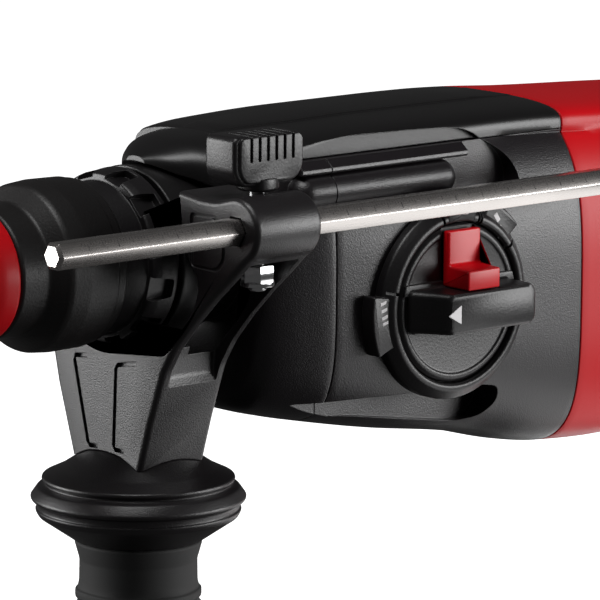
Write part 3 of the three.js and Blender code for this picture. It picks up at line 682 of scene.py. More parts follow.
@dataclass
class Housings:
    """Front housing, gear housing, top cover and motor housing."""

    neck_radius: float = 21.5
    tube_radius: float = 16.5
    seam: float = 46.7
    motor_seam: float = 138.0
    handle_seam: float = 236.0
    band_clearance: float = 25.2
    pocket: Recess = field(default_factory=lambda: Recess((
        (30, 8), (30, 22.8), (98.4, 22.8), (98.4, 25.8), (105.6, 25.8), (110, 23.3), (113.5, 20), (115.2, 16),
        (115.2, 12), (112, 8)), 30.2))
    ledge: Sequence[Pair] = (
        (28.6, 25.45), (31.0, 25.45), (33.7, 23.3), (33.8, 22.4), (33.2, 21.8), (28.6, 21.8),
    )
    ledge_ends: Pair = (36, 98)
    duct_ends: Pair = (34, 94)
    duct_at: Pair = (30.8, 16.4)
    duct_radius: float = 5.2
    cover_pocket: Recess = field(default_factory=lambda: Recess((
        (34, 24), (34, 29), (45, 30.4), (60, 30.6), (80, 30.2), (94, 29.7), (99, 29), (103, 27.5),
        (106, 25.5), (106, 24)), 28.2, 3.0))
    low_slot: Recess = field(default_factory=lambda: Recess((
        (31, -45.8), (31, -44.2), (38, -42.8), (60, -42.6), (100, -43.2), (107, -44.5), (108, -49),
        (104, -53.5), (97, -54.5), (60, -48.6), (40, -46.6)), 27, 2.4))

    def front(self) -> None:
        """Neck, front wall and flare."""
        skin = BODY.skin(26, self.seam - GAP / 2, step=1.6, front_edge=2.4, rear_edge=0.25)
        skin.cut(BODY.skin(29.5, self.seam + 1, WALL, 96, 3))
        skin.add(rod(Axis.X, 0.4, 30, self.neck_radius, sides=128, edge=0.8))
        skin.cut(rod(Axis.X, -1, 34, self.tube_radius + 1.2, sides=96))
        skin.cut(BODY.above_lip(-GAP / 2))
        self.side_details(skin, 26.3, self.seam - GAP / 2)
        place(skin, "front_shell", "housing", HOUSING_BLACK, "front_housing")

    def side_details(self, shell: Solid, start: float, end: float) -> None:
        """Recesses, ledges and ducts of a piece of the body between two stations."""
        for side in Side:
            for recess in (self.pocket, self.low_slot):
                wall = recess.cutter(side, WALL).keep(BODY.skin(start, end, INSIDE, 192, 2.2))
                wall.cut(BODY.above_lip(-GAP / 2))
                shell.add(wall).cut(recess.cutter(side))
            low, high = max(start + INSIDE, self.ledge_ends[0]), min(end - INSIDE, self.ledge_ends[1])
            ledge = [(y * side.value, z) for y, z in self.ledge]
            shell.add(extrude(ledge, Axis.X, low, high))
            centre = (self.duct_at[0] * side.value, self.duct_at[1])
            duct = turned(self.duct_profile(start, end), Axis.X, centre, 64)
            shell.add(duct.cut(block(20, 100, -28.4, 28.4, 0, 30)))

    def duct_profile(self, start: float, end: float) -> list[Pair]:
        """Profile of the duct's part in one piece, with its own rounded end."""
        radius = self.duct_radius
        turns = [math.radians(10 * k) for k in range(10)]
        if start < self.duct_ends[0]:
            nose = [(self.duct_ends[0] + radius * (1 - math.cos(t)), radius * math.sin(t)) for t in turns]
            return nose + [(end - INSIDE, radius), (end - INSIDE, 0)]
        tail = [(self.duct_ends[1] - radius * (1 - math.sin(t)), radius * math.cos(t)) for t in turns]
        return [(start + INSIDE, 0), (start + INSIDE, radius)] + tail

    def gear(self, knob: Pair) -> None:
        """Gear housing with its side recesses, ledge and duct."""
        start, end = self.seam + GAP / 2, self.motor_seam - GAP / 2
        shell = BODY.skin(start, end, step=2.2, front_edge=0.25, rear_edge=0.25)
        shell.cut(BODY.skin(start - 1, end + 1, WALL, 96, 4))
        shell.cut(BODY.above_lip(-GAP / 2))
        self.side_details(shell, start, end)
        shell.cut(rod(Axis.Y, -60, -20, 9, knob, 64))
        place(shell, "gear_shell", "housing", HOUSING_BLACK, "gear_housing")

    def cover(self) -> None:
        """Top cover with its visor, centre spine and side pockets."""
        end = self.motor_seam - GAP / 2
        shell = BODY.skin(26, end, step=2.2, front_edge=0.6, rear_edge=0.25)
        shell.keep(BODY.above_lip(GAP / 2))
        shell.add(self.visor())
        shell.add(self.spine(end))
        for side in Side:
            shell.cut(self.cover_pocket.cutter(side))
        inner = BODY.skin(29, end + 1, WALL, 96, 4)
        inner.cut(block(20, 200, -BEYOND, BEYOND, -90, BODY.lip_z - 2))
        for side in Side:
            low, high = (25.6, BEYOND) if side is Side.RIGHT else (-BEYOND, -25.6)
            inner.cut(block(33, 108, low, high, 20, 60))
        shell.cut(inner)
        shell.cut(rod(Axis.X, -1, 40, self.band_clearance, sides=128))
        place(shell, "top_hood", "housing", COVER_BLACK, "top_cover")

    def visor(self) -> Solid:
        """Arch that hugs the clamped neck and narrows towards the chuck."""
        stations = ((4.5, 4, 26.8, 24), (8, 10, 28.3, 23), (12.4, 15, 30, 21.4), (16, 19, 31, 19.6),
                    (20.5, 22.5, 31.6, 18.4), (25.7, 25, 32, 18))
        levels = [4.5 + 21.2 * k / 24 for k in range(25)]
        arch = loft([self.arch_section(x, *(table_value(stations, x, k) for k in (1, 2, 3))) for x in levels])
        arch.cut(rod(Axis.X, 0, 30, 25.4, sides=160))
        floor = BODY.lip_z + GAP / 2
        root = ((25, 24.6, 31.9, floor), (28, 25.4, 32.1, floor))
        return arch.add(loft([self.arch_section(*row) for row in root]))

    @staticmethod
    def arch_section(x: float, half: float, top: float, bottom: float) -> list[Vector]:
        """Rounded section of the visor with a flat foot."""
        count = 44
        ring = [Vector((x, -half, bottom)), Vector((x, half, bottom))]
        for i in range(1, count):
            t = math.pi * i / count
            c, s = math.cos(t), math.sin(t)
            y = half * math.copysign(abs(c) ** 0.8, c)
            ring.append(Vector((x, y, bottom + (top - bottom) * s ** 0.75)))
        return ring

    def spine(self, end: float) -> Solid:
        """Raised strip down the middle of the cover."""
        rings = []
        for k in range(46):
            x = 27.5 + (end - 28.2) * k / 45
            top = table_value(BODY.stations, x, 2)
            rise = blend(0.0, 0.55, (x - 27.5) / 5) - blend(0.0, 0.45, (x - 118) / 14)
            half = blend(7.5, 10.5, (x - 28) / 30)
            right = [(half + 0.9, top - 2.5), (half + 0.9, top - 0.7), (half, top + rise - 0.25),
                     (half - 1, top + rise - 0.05)]
            left = [(-y, z) for y, z in reversed(right)]
            section = left[-1:] + right + [(0, top + rise)] + left[:-1]
            rings.append([Vector((x, y, z)) for y, z in section])
        return loft(rings)

    def motor(self) -> None:
        """Red motor housing with cooling slots."""
        start, end = self.motor_seam + GAP / 2, self.handle_seam - GAP / 2
        shell = BODY.skin(start, end, step=3, front_edge=0.4, rear_edge=0.4)
        shell.cut(BODY.skin(start - 1, end + 1, WALL, 96, 4))
        for i in range(6):
            x = 206 + i * 4.6
            slot = soften([(x, -34), (x + 2.2, -34), (x + 2.2, -4), (x, -4)], 1.0, 4)
            shell.cut(extrude(slot, Axis.Y, -BEYOND, BEYOND))
        place(shell, "motor_shell", "housing", HOUSING_RED, "motor_housing")

    def build(self, knob: Pair) -> None:
        """Builds the four housings."""
        self.front()
        self.gear(knob)
        self.cover()
        self.motor()


@dataclass
class PistolGrip:
    """Handle shells, soft grip, trigger, lock-on button, screws and cord gland."""

    foot_z: float = -178.0
    foot_x: float = 269.0
    rake: float = 0.11
    lock_on: Pair = (257, -86)
    inlet_x: float = 281.0
    pod_edge: float = 2.2
    foot_edge: float = 1.5
    screws: Sequence[Pair] = ((252, -122), (255, -150))
    pod: Sequence[Sequence[float]] = (
        (236, 34.5, 27.6, -65.5), (252, 32.6, 25.6, -66), (268, 29.6, 20, -66.5), (282, 25.5, 9, -66),
        (291, 20, -4, -60), (296, 12, -20, -50),
    )
    grip: Sequence[Sequence[float]] = (
        (-178, 26.5, 20.5), (-168, 26, 20), (-162, 23, 17.6), (-110, 22, 17), (-74, 22.8, 17.4),
        (-40, 24, 19),
    )

    def blank(self, depth: float) -> Solid:
        """Pod and grip as one solid, moved inwards by depth."""
        rings = []
        front, last = self.pod[0][0], self.pod[-1][0]
        steps, edge_steps = 32, 3
        for k in range(steps + 1):
            x = front + (last - front) * k / steps
            width, top, bottom = (table_value(self.pod, x, c) for c in (1, 2, 3))
            turn = math.radians(90 * max(0, k - steps + edge_steps) / edge_steps)
            pull = depth + self.pod_edge * (1 - math.cos(turn))
            shown, middle = min(x, last - depth), (top + bottom) / 2
            outline = superellipse(width - pull, (top - bottom) / 2 - pull, 2.6, 96)
            rings.append([Vector((shown, y, z + middle)) for y, z in outline])
        pod = loft(rings)
        rings = []
        low, edge, high = self.foot_z + depth, self.foot_edge, self.grip[-1][0]
        turns = [math.radians(30 * k) for k in range(4)]
        levels = [(low + edge * (1 - math.cos(t)), edge * (1 - math.sin(t))) for t in turns]
        levels += [(low + edge + (high - low - edge) * k / 60, 0.0) for k in range(1, 61)]
        for z, pull in levels:
            a, b = (table_value(self.grip, z, c) - depth - pull for c in (1, 2))
            rings.append([Vector((self.centre(z) + x, y, z)) for x, y in superellipse(a, b, 2.5, 96)])
        return pod.add(loft(rings))

    def centre(self, z: float) -> float:
        """X of the grip's axis at a height."""
        return self.foot_x - (z - self.foot_z) * self.rake

    def ribs(self, solid: Solid) -> Solid:
        """Shallow finger grooves round the soft grip."""
        def shift(p: Vector) -> Vector:
            """Pulls the surface in along the grooves."""
            wave = 0.35 * (math.sin((p.z + 72) * 2 * math.pi / 5.5) ** 8) if -150 < p.z < -82 else 0.0
            away = Vector((p.x - self.centre(p.z), p.y, 0))
            return p - away.normalized() * wave if away.length > 12 else p
        return solid.mould(shift)

    def build(self) -> None:
        """Builds the handle's pieces."""
        shell = self.blank(0).cut(self.blank(WALL))
        shell.keep(block(236 + GAP / 2, 320, -BEYOND, BEYOND, -200, 60))
        shell.cut(block(220, 248, -7, 7, -107, -70, 1.2))
        shell.cut(rod(Axis.Y, -40, -8, 5.6, self.lock_on, 64))
        shell.cut(rod(Axis.Z, -190, -170, 6.8, (self.inlet_x, 0), 64))
        band = soften([(262, -160), (320, -160), (320, -72), (262, -72)], 9, 8)
        band_cut = extrude(band, Axis.Y, -BEYOND, BEYOND)
        band_cut.cut(self.blank(WALL / 2))
        shell.cut(band_cut)
        left = shell.copy().keep(block(200, 320, -BEYOND, -0.08, -200, 60))
        right = shell.keep(block(200, 320, 0.08, BEYOND, -200, 60))
        for x, z in self.screws:
            right.cut(rod(Axis.Y, 10, 25, 3.8, (x, z), 48))
        place(left, "grip_shell_left", "housing", HOUSING_RED, "handle_shell_left")
        place(right, "grip_shell_right", "housing", HOUSING_RED, "handle_shell_right")
        pad = self.blank(0).keep(extrude(inset(band, GAP), Axis.Y, -BEYOND, BEYOND))
        pad.cut(self.blank(WALL / 2 - GAP))
        place(self.ribs(pad), "grip_pad", "housing", RUBBER, "soft_grip")
        self.controls()

    def controls(self) -> None:
        """Trigger, lock-on button, screws and gland."""
        side = soften([(231, -71), (248, -71), (248, -103), (236, -105), (229.5, -99), (228.4, -88),
                       (226.5, -78)], 3.0, 6)
        trigger = extrude(side, Axis.Y, -6.4, 6.4, 1.4, 4)
        for z in (-82, -88, -94):
            trigger.cut(rod(Axis.Y, -5, 5, 0.8, (228.2, z), 24))
        place(trigger, "trigger_blade", "trigger", KNOB_BLACK, "trigger")
        profile = soften([(-20.4, 0), (-20.4, 4.4), (-19.4, 5.1), (-10.6, 5.1), (-10.6, 0)], 0.5, 3, False)
        button = turned(profile, Axis.Y, self.lock_on, 64)
        place(button, "lock_on_cap", "lock_on", KNOB_BLACK, "lock_on_button")
        for i, (x, z) in enumerate(self.screws):
            screw = turned([(4, 0), (4, 2), (14.4, 2), (14.4, 3.4), (15.8, 3.4), (16.2, 3.0), (16.2, 0)],
                           Axis.Y, (x, z), 48)
            tips, dips = arc(1.7, 0, 300, 5, (x, z)), arc(1.1, 30, 330, 5, (x, z))
            star = [p for pair in zip(tips, dips) for p in pair]
            screw.cut(extrude(soften(star, 0.3, 2), Axis.Y, 14.9, 17))
            place(screw, f"grip_screw_{i + 1}", "housing", STEEL, f"handle_screw_{i + 1}")
        gland = turned(soften([(-177.5, 3.9), (-177.5, 6.4), (-164, 6.4), (-164, 3.9)], 0.6, 3), Axis.Z,
                       (self.inlet_x, 0), 64)
        place(gland, "inlet_gland", "housing", RUBBER, "cord_gland")


# ----------------------------------------------------------------------------------------------------
# Chuck


@dataclass
class Chuck:
    """Dust seal, red cap, pull-back sleeve and notched ring."""

    floor_radius: float = 21.9
    mark_radius: float = 23.45
    lugs: int = 12
    sides: int = 144

    def build(self) -> None:
        """Builds the chuck's pieces."""
        seal = soften([(-65, 5.6), (-65, 7.6), (-63.4, 8.8), (-58.8, 8.8), (-58.8, 5.6)], 0.5, 3)
        place(turned(seal, sides=96), "nose_seal", "spindle", RUBBER, "dust_seal")
        cap = soften([(-49.7, 10.4), (-49.7, 18.3), (-55, 18), (-59.5, 16.6), (-62.6, 14), (-64, 11),
                      (-64, 9.2), (-58.5, 9.2), (-58.5, 10.4)], 1.2, 5)
        place(turned(cap, sides=self.sides), "chuck_cap", "spindle", HOUSING_RED, "front_cap")
        self.sleeve()
        self.ring()
        self.holder()

    def sleeve(self) -> None:
        """Sleeve with its flared shoulder and its narrow neck."""
        outer = [(-49.3, 12.2), (-49.3, 17.4), (-48.6, 18.1), (-40.6, 18.2), (-39.8, 18.5), (-36.6, 22.6),
                 (-35.4, 23.1), (-30, 23.6), (-20.4, 23.4), (-20.0, 23.0), (-17.6, 22.9), (-16.8, 22.4),
                 (-16.8, 21.7), (-30, 21.7), (-30, 12.2)]
        sleeve = turned(soften(outer, 0.5, 4), sides=self.sides)
        place(sleeve, "sleeve_shell", "chuck_sleeve", SLEEVE_RUBBER, "chuck_sleeve")
        marks = []
        for angle, x in ((-158, -27), (-146, -21.5)):
            mark = block(x - 0.9, x + 0.9, -0.5, 0.5, self.mark_radius - 0.4, self.mark_radius + 0.06)
            marks.append(mark.move(Axis.X.turn(angle + 90)))
        place(marks[0].add(*marks[1:]), "sleeve_marks", "chuck_sleeve", MARK_WHITE)

    def ring(self) -> None:
        """Ring with square lugs round it and a thin rear rim."""
        profile = [(-16, 13.3), (-16, 21.2), (-8.6, 21.2), (-8.4, 23.0), (-7.8, 23.4), (-5.6, 23.9),
                   (-1.4, 24.2), (-0.4, 24.2), (0, 23.8), (0, 13.3)]
        ring = turned(soften(profile, 0.3, 2), sides=self.sides)
        step = 360 / self.lugs
        for i in range(self.lugs):
            notch = soften([(-9.5, -3.3), (-6.6, -3.3), (-1.6, -2.6), (-1.6, 2.6), (-6.6, 3.3), (-9.5, 3.3)],
                           0.6, 3)
            cutter = extrude(notch, Axis.Z, self.floor_radius, 27)
            ring.cut(cutter.move(Axis.X.turn(step * (i + 0.5))))
        place(ring, "lug_ring", "spindle", KNOB_BLACK, "notched_ring")

    def holder(self) -> None:
        """Front of the spindle, which carries the bit."""
        profile = [(-58, 5.1), (-58, 9.6), (-57.6, 10), (-20, 10), (-20, 13), (26, 13), (26, 7.2), (4, 7.2),
                   (4, 5.1)]
        holder = turned(profile, sides=96)
        holder.cut(block(-43.6, -36.4, -14, 14, -3.4, 3.4, 1.2))
        place(holder, "bit_holder", "spindle", STEEL, "tool_holder")


# ----------------------------------------------------------------------------------------------------
# Mode selector


@dataclass
class ModeSelector:
    """Bezel, knob with its pointer bar, red lock button and printed marks."""

    x: float = 86.6
    z: float = -17.6

    def sector(self, start: float, end: float, inner: float, outer: float, low: float, high: float,
               edge: float = 0.5) -> Solid:
        """Raised pad on the bezel, between two angles and two radii."""
        outline = arc(outer, start, end, 14, (self.x, self.z)) + arc(inner, end, start, 14, (self.x, self.z))
        return extrude(soften(outline, 0.6, 3), Axis.Y, low, high, edge)

    def build(self) -> None:
        """Builds the selector's pieces."""
        self.bezel()
        self.knob()
        self.button()
        self.marks()

    def bezel(self) -> None:
        """Fixed ring with icon pads."""
        centre = (self.x, self.z)
        profile = soften([(-42.2, 22.9), (-43, 23.5), (-43, 24.8), (-40.6, 27.6), (-36.2, 27.6),
                          (-36.2, 22.9)], 0.6, 4)
        ring = turned(profile, Axis.Y, centre, 160)
        pads = ((171, 203, 31.6, -41.9), (76, 101, 27.9, -43.1), (40, 66, 30.6, -41.9))
        for start, end, outer, face in pads:
            ring.add(self.sector(start, end, 23.1, outer, face, -36.6))
        for angle in (72.5, 104.5, 36, 70, 168):
            groove = block(-0.45, 0.45, -46, -41.2, 22, 32)
            ring.cut(groove.move(Matrix.Translation((self.x, 0, self.z)) @ Axis.Y.turn(90 - angle)))
        ring.cut(BODY.skin(47, 130, -0.3, 128, 4))
        place(ring, "selector_bezel", "housing", KNOB_BLACK, "mode_bezel")

    def knob(self) -> None:
        """Turning disc with its pointer bar."""
        centre = (self.x, self.z)
        disc = turned(soften([(-42.0, 0), (-42.0, 19.8), (-42.5, 20.3), (-42.5, 21.3), (-41.6, 22.5),
                              (-40.2, 22.5), (-40.2, 8.6), (-36.6, 8.6), (-36.6, 0)], 0.35, 3, False), Axis.Y,
                      centre, 160)
        base_z = self.z - 0.6
        # Height, two ends and half width of the pointer bar, from its foot to its face
        levels = [(-41.2, -19.5, 19.5, 6.3), (-43.6, -19.4, 19.5, 6.3), (-44.1, -19.1, 19.4, 5.9),
                  (-52.6, -14.3, 19.4, 5.8), (-53.5, -13.6, 19.2, 5.6), (-54, -13.0, 18.4, 4.9)]
        rings = []
        for y, nose, tail, half in levels:
            outline = soften([(nose, -half + 1), (nose, half - 1), (nose + 1.2, half), (tail - 1.6, half),
                              (tail, half - 1.8), (tail, -half + 1.8), (tail - 1.6, -half),
                              (nose + 1.2, -half)], 0.7, 3)
            rings.append([Vector((self.x + u, y, base_z + v)) for u, v in outline])
        disc.add(loft(rings))
        shelf = soften([(-21.2, 4.2), (21.2, 4.2), (20.4, 7.4), (-20.4, 7.4)], 0.6, 3)
        disc.add(extrude([(self.x + u, self.z + v - 0.4) for u, v in shelf], Axis.Y, -43.1, -41, 0.3))
        well = soften([(-6.5, 4.9), (6.5, 4.9), (6.5, 21.6), (-6.5, 21.6)], 0.8, 3)
        disc.cut(extrude([(self.x + u, self.z + v) for u, v in well], Axis.Y, -60, -41.2))
        place(disc, "selector_knob", "mode_knob", KNOB_BLACK, "mode_knob")

    def button(self) -> None:
        """Red lock button: a tab on the disc and a block over the bar."""
        side = soften([(-44.9, 21), (-44.9, 11.9), (-45.4, 11.3), (-53, 10.8), (-53, 5.3), (-42.4, 5.3),
                       (-42.4, 21)], 0.5, 3)
        button = extrude([(y, self.z + z) for y, z in side], Axis.X, self.x - 6.1, self.x + 6.1, 0.6, 3)
        place(button, "selector_button", "knob_button", BUTTON_RED, "knob_lock_button")

    def marks(self) -> None:
        """Plain printed marks: a pointer and three groups of bars."""
        z = self.z - 0.7
        pointer = extrude(soften([(72.2, z), (77, z + 2.7), (77, z - 2.7)], 0.3, 2), Axis.Y, -54.06, -53.9)
        place(pointer, "pointer_mark", "mode_knob", MARK_WHITE)
        bars = [(57.6, -15.6, 59.8, -14.6), (57.9, -17.6, 60.1, -16.6), (58.2, -19.6, 60.4, -18.6),
                (58.5, -21.2, 60.6, -20.3)]
        left = [[(x0, z0), (x1, z0 + 0.6), (x1, z1 + 0.6), (x0, z1)] for x0, z0, x1, z1 in bars]
        top = [[(83.6, 7.6), (86, 7.6), (86, 8.8), (83.6, 8.8)],
               [(87.4, 7.4), (89.4, 7.2), (90, 8.8), (87.8, 9.0)]]
        right = [[(100.3, 5.6), (101.6, 6.4), (103, 4.2), (101.9, 3.4)],
                 [(102.2, 2.8), (103.4, 2.6), (103.2, -1.2), (102.1, -1)]]
        groups = ((left, -41.97, -41.8), (top, -43.17, -43.0), (right, -41.97, -41.8))
        merged = [extrude(soften(outline, 0.2, 2), Axis.Y, face, back)
                  for group, face, back in groups for outline in group]
        place(merged[0].add(*merged[1:]), "bezel_marks", "housing", MARK_WHITE)


# ----------------------------------------------------------------------------------------------------
# Side handle


@dataclass
class SideHandle:
    """Bracket, clamp band, wing knob, screw, nut, depth rod, collar and grip."""

    side_x: float = 5.8
    front: float = -6.4
    back: float = 17.0
    rod_at: Pair = (-54.5, 13.9)
    rod_front: float = -69.0
    rod_rear: float = 141.0
    flats: float = 7.0
    wing_at: Pair = (8, -47)
    neck_radius: float = 21.5
    dome: Sequence[Pair] = ((-53.6, 4.4), (-53.8, 10), (-55.2, 14), (-57.8, 18), (-60.4, 22), (-62.3, 26))
    channel: Sequence[Pair] = (
        (-60, -14), (-58, 4.8), (-54.5, 4.2), (-49, 4.2), (-42.4, 3.6), (-37, -3.6), (-31, -11),
        (-25.5, -18.5), (-22.5, -26), (-22, -31), (-25, -38), (-33, -44),
    )
    front_grooves: Sequence[Sequence[Pair]] = (
        ((7.6, -28.6), (12.6, -29.2), (12.9, -30.6), (7.2, -52.6), (6.2, -53.6), (3.0, -53.4)),
        ((-13.6, -27.9), (-5.6, -29.4), (-4.9, -30.6), (-3.9, -52.2), (-4.6, -53.2), (-8.2, -53.2)),
    )

    def outline(self) -> list[Pair]:
        """Bracket seen from the nose, as y and z."""
        points = [(13.4, -60), (20.7, -37.8), (24.5, -22), (29.4, -10), (31, -2), (25.2, -2)]
        points += arc(25.2, -8, -120, 16)
        points += [(-24.5, -23), (-31.9, -15.9), (-36.1, -10.4), (-38.6, -4), (-37.4, 0), (-32.4, 6),
                   (-29.3, 15.2), (-30.5, 22.1), (-40, 20.9), (-46, 20.9)]
        points += arc(8.9, 75, 243, 14, self.rod_at)
        points += [(-51.6, -0.3), (-45.1, -5.8), (-37.3, -13.2), (-29.7, -21.4), (-24.9, -28.7),
                   (-19, -44.6), (-14.2, -60)]
        return soften(points, 1.6, 4)

    def hexagon(self, flats: float) -> list[Pair]:
        """Hexagon round the rod's axis with flats above and below."""
        return arc(flats / math.sqrt(3), 0, 300, 5, self.rod_at)

    def build(self) -> None:
        """Builds the handle's pieces."""
        self.bracket()
        self.band()
        self.wing()
        self.depth_rod()
        self.collar()
        self.grip()

    def bracket(self) -> None:
        """Moulded bracket between the band, the rod's boss and the handle."""
        seat_profile = [(self.dome[0][0] + GAP, 0)] + [(z + GAP, r) for z, r in self.dome]
        seat_profile += [(-62, 40), (-90, 40), (-90, 0)]
        bracket = extrude(self.outline(), Axis.X, self.front, self.back, 1.6, 5)
        bracket.cut(turned(seat_profile, Axis.Z, (self.side_x, 0), 96))
        bracket.cut(pipe(Axis.X, 4.1, 20, 34, 10, sides=128))
        bracket.cut(extrude(self.hexagon(self.flats + 0.7), Axis.X, -20, 30))
        bracket.cut(extrude(soften(self.channel, 0.9, 4), Axis.X, -3.2, 14, 0.6))
        bracket.cut(rod(Axis.Z, -20, 60, 2.9, self.wing_at, 48))
        bracket.cut(rod(Axis.Z, -80, -28, 4.4, (self.side_x, 0), 48))
        self.engrave(bracket)
        place(bracket, "handle_bracket", "side_handle", BRACKET_BLACK, "side_bracket")

    def engrave(self, bracket: Solid) -> None:
        """Grooves and the recessed panel on the front face."""
        face = self.front
        for path in self.front_grooves:
            bracket.cut(self.groove(path, 1.3, face - 1, face + 1.4))
        panel = soften([(-35.9, 16.8), (-46.6, 17.1), (-50.7, 8.2), (-50.0, 4.4), (-47.1, 2.0),
                        (-35.6, 2.1)], 1.4, 4)
        bracket.cut(extrude(panel, Axis.X, face - 1, face + 0.7))
        raised = [(y + (0.75 if y < -40 else -0.75), z) for y, z in inset(panel, 0.8)]
        bracket.add(extrude(soften(raised, 0.3, 2), Axis.X, face + 0.1, face + 1.2))

    @staticmethod
    def groove(path: Sequence[Pair], width: float, low: float, high: float) -> Solid:
        """Narrow cutter along an open path of y and z points."""
        points = [Vector(p) for p in path]
        left: list[Pair] = []
        right: list[Pair] = []
        for i, p in enumerate(points):
            before = points[max(0, i - 1)]
            after = points[min(len(points) - 1, i + 1)]
            along = (after - before).normalized()
            normal = Vector((-along.y, along.x)) * width / 2
            left.append(tuple(p + normal))
            right.append(tuple(p - normal))
        return extrude(left + right[::-1], Axis.X, low, high)

    def band(self) -> None:
        """Clamp band round the neck."""
        band = pipe(Axis.X, 1.6, 15.8, 24.4, self.neck_radius + 0.4, sides=144, edge=0.7)
        place(band, "neck_band", "side_handle", COVER_BLACK, "clamp_band")

    def wing(self) -> None:
        """Wing knob with its grip slots, screw and nut."""
        cx, cy = self.wing_at
        outline = soften([(-9, 24.5), (-12, 28), (-12, 37), (-11, 38.2), (11, 38.2), (12, 37), (12, 28),
                          (9, 24.5)], 2.0, 6)
        wing = extrude([(cx + u, z) for u, z in outline], Axis.Y, cy - 4.2, cy + 8, 1.1, 4)
        pad = soften([(-8.2, 25.4), (-10.6, 28.6), (-10.6, 36.6), (-9.8, 38.1), (10.6, 38.1), (11.9, 36.8),
                      (11.9, 28.6), (9.2, 25.4)], 2.2, 6)
        wing.add(extrude([(cx + u, z) for u, z in pad], Axis.Y, cy - 5, cy - 3.6, 0.6, 3))
        for k in range(6):
            x = cx - 6.6 + k * 2.95
            slot = soften([(x - 0.5, 31.2), (x + 0.5, 31.2), (x + 0.5, 40), (x - 0.5, 40)], 0.4, 4)
            wing.cut(extrude(slot, Axis.Y, cy - 6, cy - 3.7))
            top = [(cy - 6, 37.1), (cy + 4.2, 37.1), (cy + 5.4, 38.6), (cy + 5.4, 40), (cy - 6, 40)]
            wing.cut(extrude(top, Axis.X, x - 0.5, x + 0.5))
        boss = soften([(22.9, 2.9), (22.9, 5.6), (23.5, 6.2), (26.4, 6.2), (26.4, 2.9)], 0.3, 3)
        wing.add(turned(boss, Axis.Z, self.wing_at, 96, self.lobed))
        wing.cut(rod(Axis.Z, 15, 33, 2.9, self.wing_at, 48))
        place(wing, "wing_grip", "clamp_wing", KNOB_BLACK, "wing_knob")
        screw = turned([(-4.6, 0), (-4.6, 2.1), (-4.2, 2.5)]
                       + [(-4 + 0.4 * k, 2.5 if k % 2 else 2.2) for k in range(1, 52)]
                       + [(17.2, 2.5), (32.7, 2.5), (32.7, 0)], Axis.Z, self.wing_at, 48)
        place(screw, "wing_screw", "clamp_wing", CHROME, "clamp_screw")
        nut = extrude(arc(4.6, 0, 300, 5, self.wing_at), Axis.Z, -2.2, 2.7, 0.4, 2)
        nut.add(pipe(Axis.Z, -3.2, -2.1, 4.6, 2.6, self.wing_at, 64))
        nut.cut(rod(Axis.Z, -10, 10, 2.9, self.wing_at, 48))
        place(nut, "wing_nut_hex", "side_handle", CHROME, "clamp_nut")

    @staticmethod
    def lobed(t: float, _: float, r: float) -> float:
        """Three shallow lobes round the outside of the wing knob's boss."""
        return r * (1 - 0.09 * abs(math.sin(1.5 * t))) if r > 4 else r

    def depth_rod(self) -> None:
        """Hexagonal rod with bevelled ends and a scale."""
        outline = soften(self.hexagon(self.flats), 0.35, 2)
        bar = extrude(outline, Axis.X, self.rod_front, self.rod_rear, 0.9, 1)
        place(bar, "gauge_rod", "depth_rod", ROD_STEEL, "depth_rod")
        normal = Axis.X.turn(150) @ Vector((0, 1, 0))
        across = Vector((0, -normal.z, normal.y))
        start = Vector((0, *self.rod_at)) + normal * self.flats / 2 - across * 1.75
        points: list[Vector] = []
        faces: list[list[int]] = []
        for k in range(8, 200):
            length = 2.6 if k % 10 == 0 else 1.9 if k % 5 == 0 else 1.2
            along = Vector((self.rod_front + k, 0, 0))
            base = len(points)
            points += [along + start + across * reach + normal * lift + Vector((offset, 0, 0))
                       for lift in (-0.05, 0.03) for reach in (0, length) for offset in (-0.13, 0.13)]
            a, b, c, d, e, f, g, h = range(base, base + 8)
            faces += [[a, b, d, c], [e, g, h, f], [a, e, f, b], [c, d, h, g], [a, c, g, e], [b, f, h, d]]
        place(Solid(points, faces), "rod_scale", "depth_rod", SCALE_INK)

    def collar(self) -> None:
        """Domed collar at the top of the handle."""
        rim = [(-62.6, 26.7), (-63.4, 26.9), (-64.0, 26.3), (-64.5, 26.0), (-65.0, 26.6), (-65.5, 28.1),
               (-68.2, 30), (-69.1, 29.7), (-69.7, 28.3), (-71.4, 28.1), (-71.7, 28.6), (-72.3, 28.5),
               (-73.6, 27.8), (-80, 18.4), (-80, 4.4)]
        collar = turned(soften(list(self.dome) + rim, 0.5, 3), Axis.Z, (self.side_x, 0), 160)
        place(collar, "handle_collar", "side_grip", BRACKET_BLACK, "side_grip_collar")

    def grip(self) -> None:
        """Ribbed lower grip and its bolt."""
        profile = [(-80.3, 0), (-80.3, 17.2), (-81, 17.8), (-86, 16.4), (-92, 16.5)]
        z = -94.0
        while z > -156:
            swell = 1.9 * math.exp(-((z + 120) / 20) ** 2)
            rib = ((0, 16.4), (-0.5, 17.1), (-2.6, 17.1), (-3.1, 16.4))
            profile += [(z + down, radius + swell) for down, radius in rib]
            z -= 4.4
        profile += [(-160, 16.6), (-166, 18.8), (-171, 20.8), (-176, 21), (-178, 19.4), (-178, 0)]
        grip = turned(soften(profile, 0.4, 2, False), Axis.Z, (self.side_x, 0), 96,
                      lambda t, along, r: r * (1 - 0.012 * math.cos(6 * t)) if -158 < along < -93 else r)
        grip.cut(rod(Axis.Z, -130.3, -70, 4.4, (self.side_x, 0), 48))
        place(grip, "handle_grip", "side_grip", RUBBER, "side_grip")
        bolt = rod(Axis.Z, -130, -30, 4, (self.side_x, 0), 48, 0.6)
        place(bolt, "handle_stud", "side_handle", STEEL, "handle_bolt")


# ----------------------------------------------------------------------------------------------------
# Inside and studio


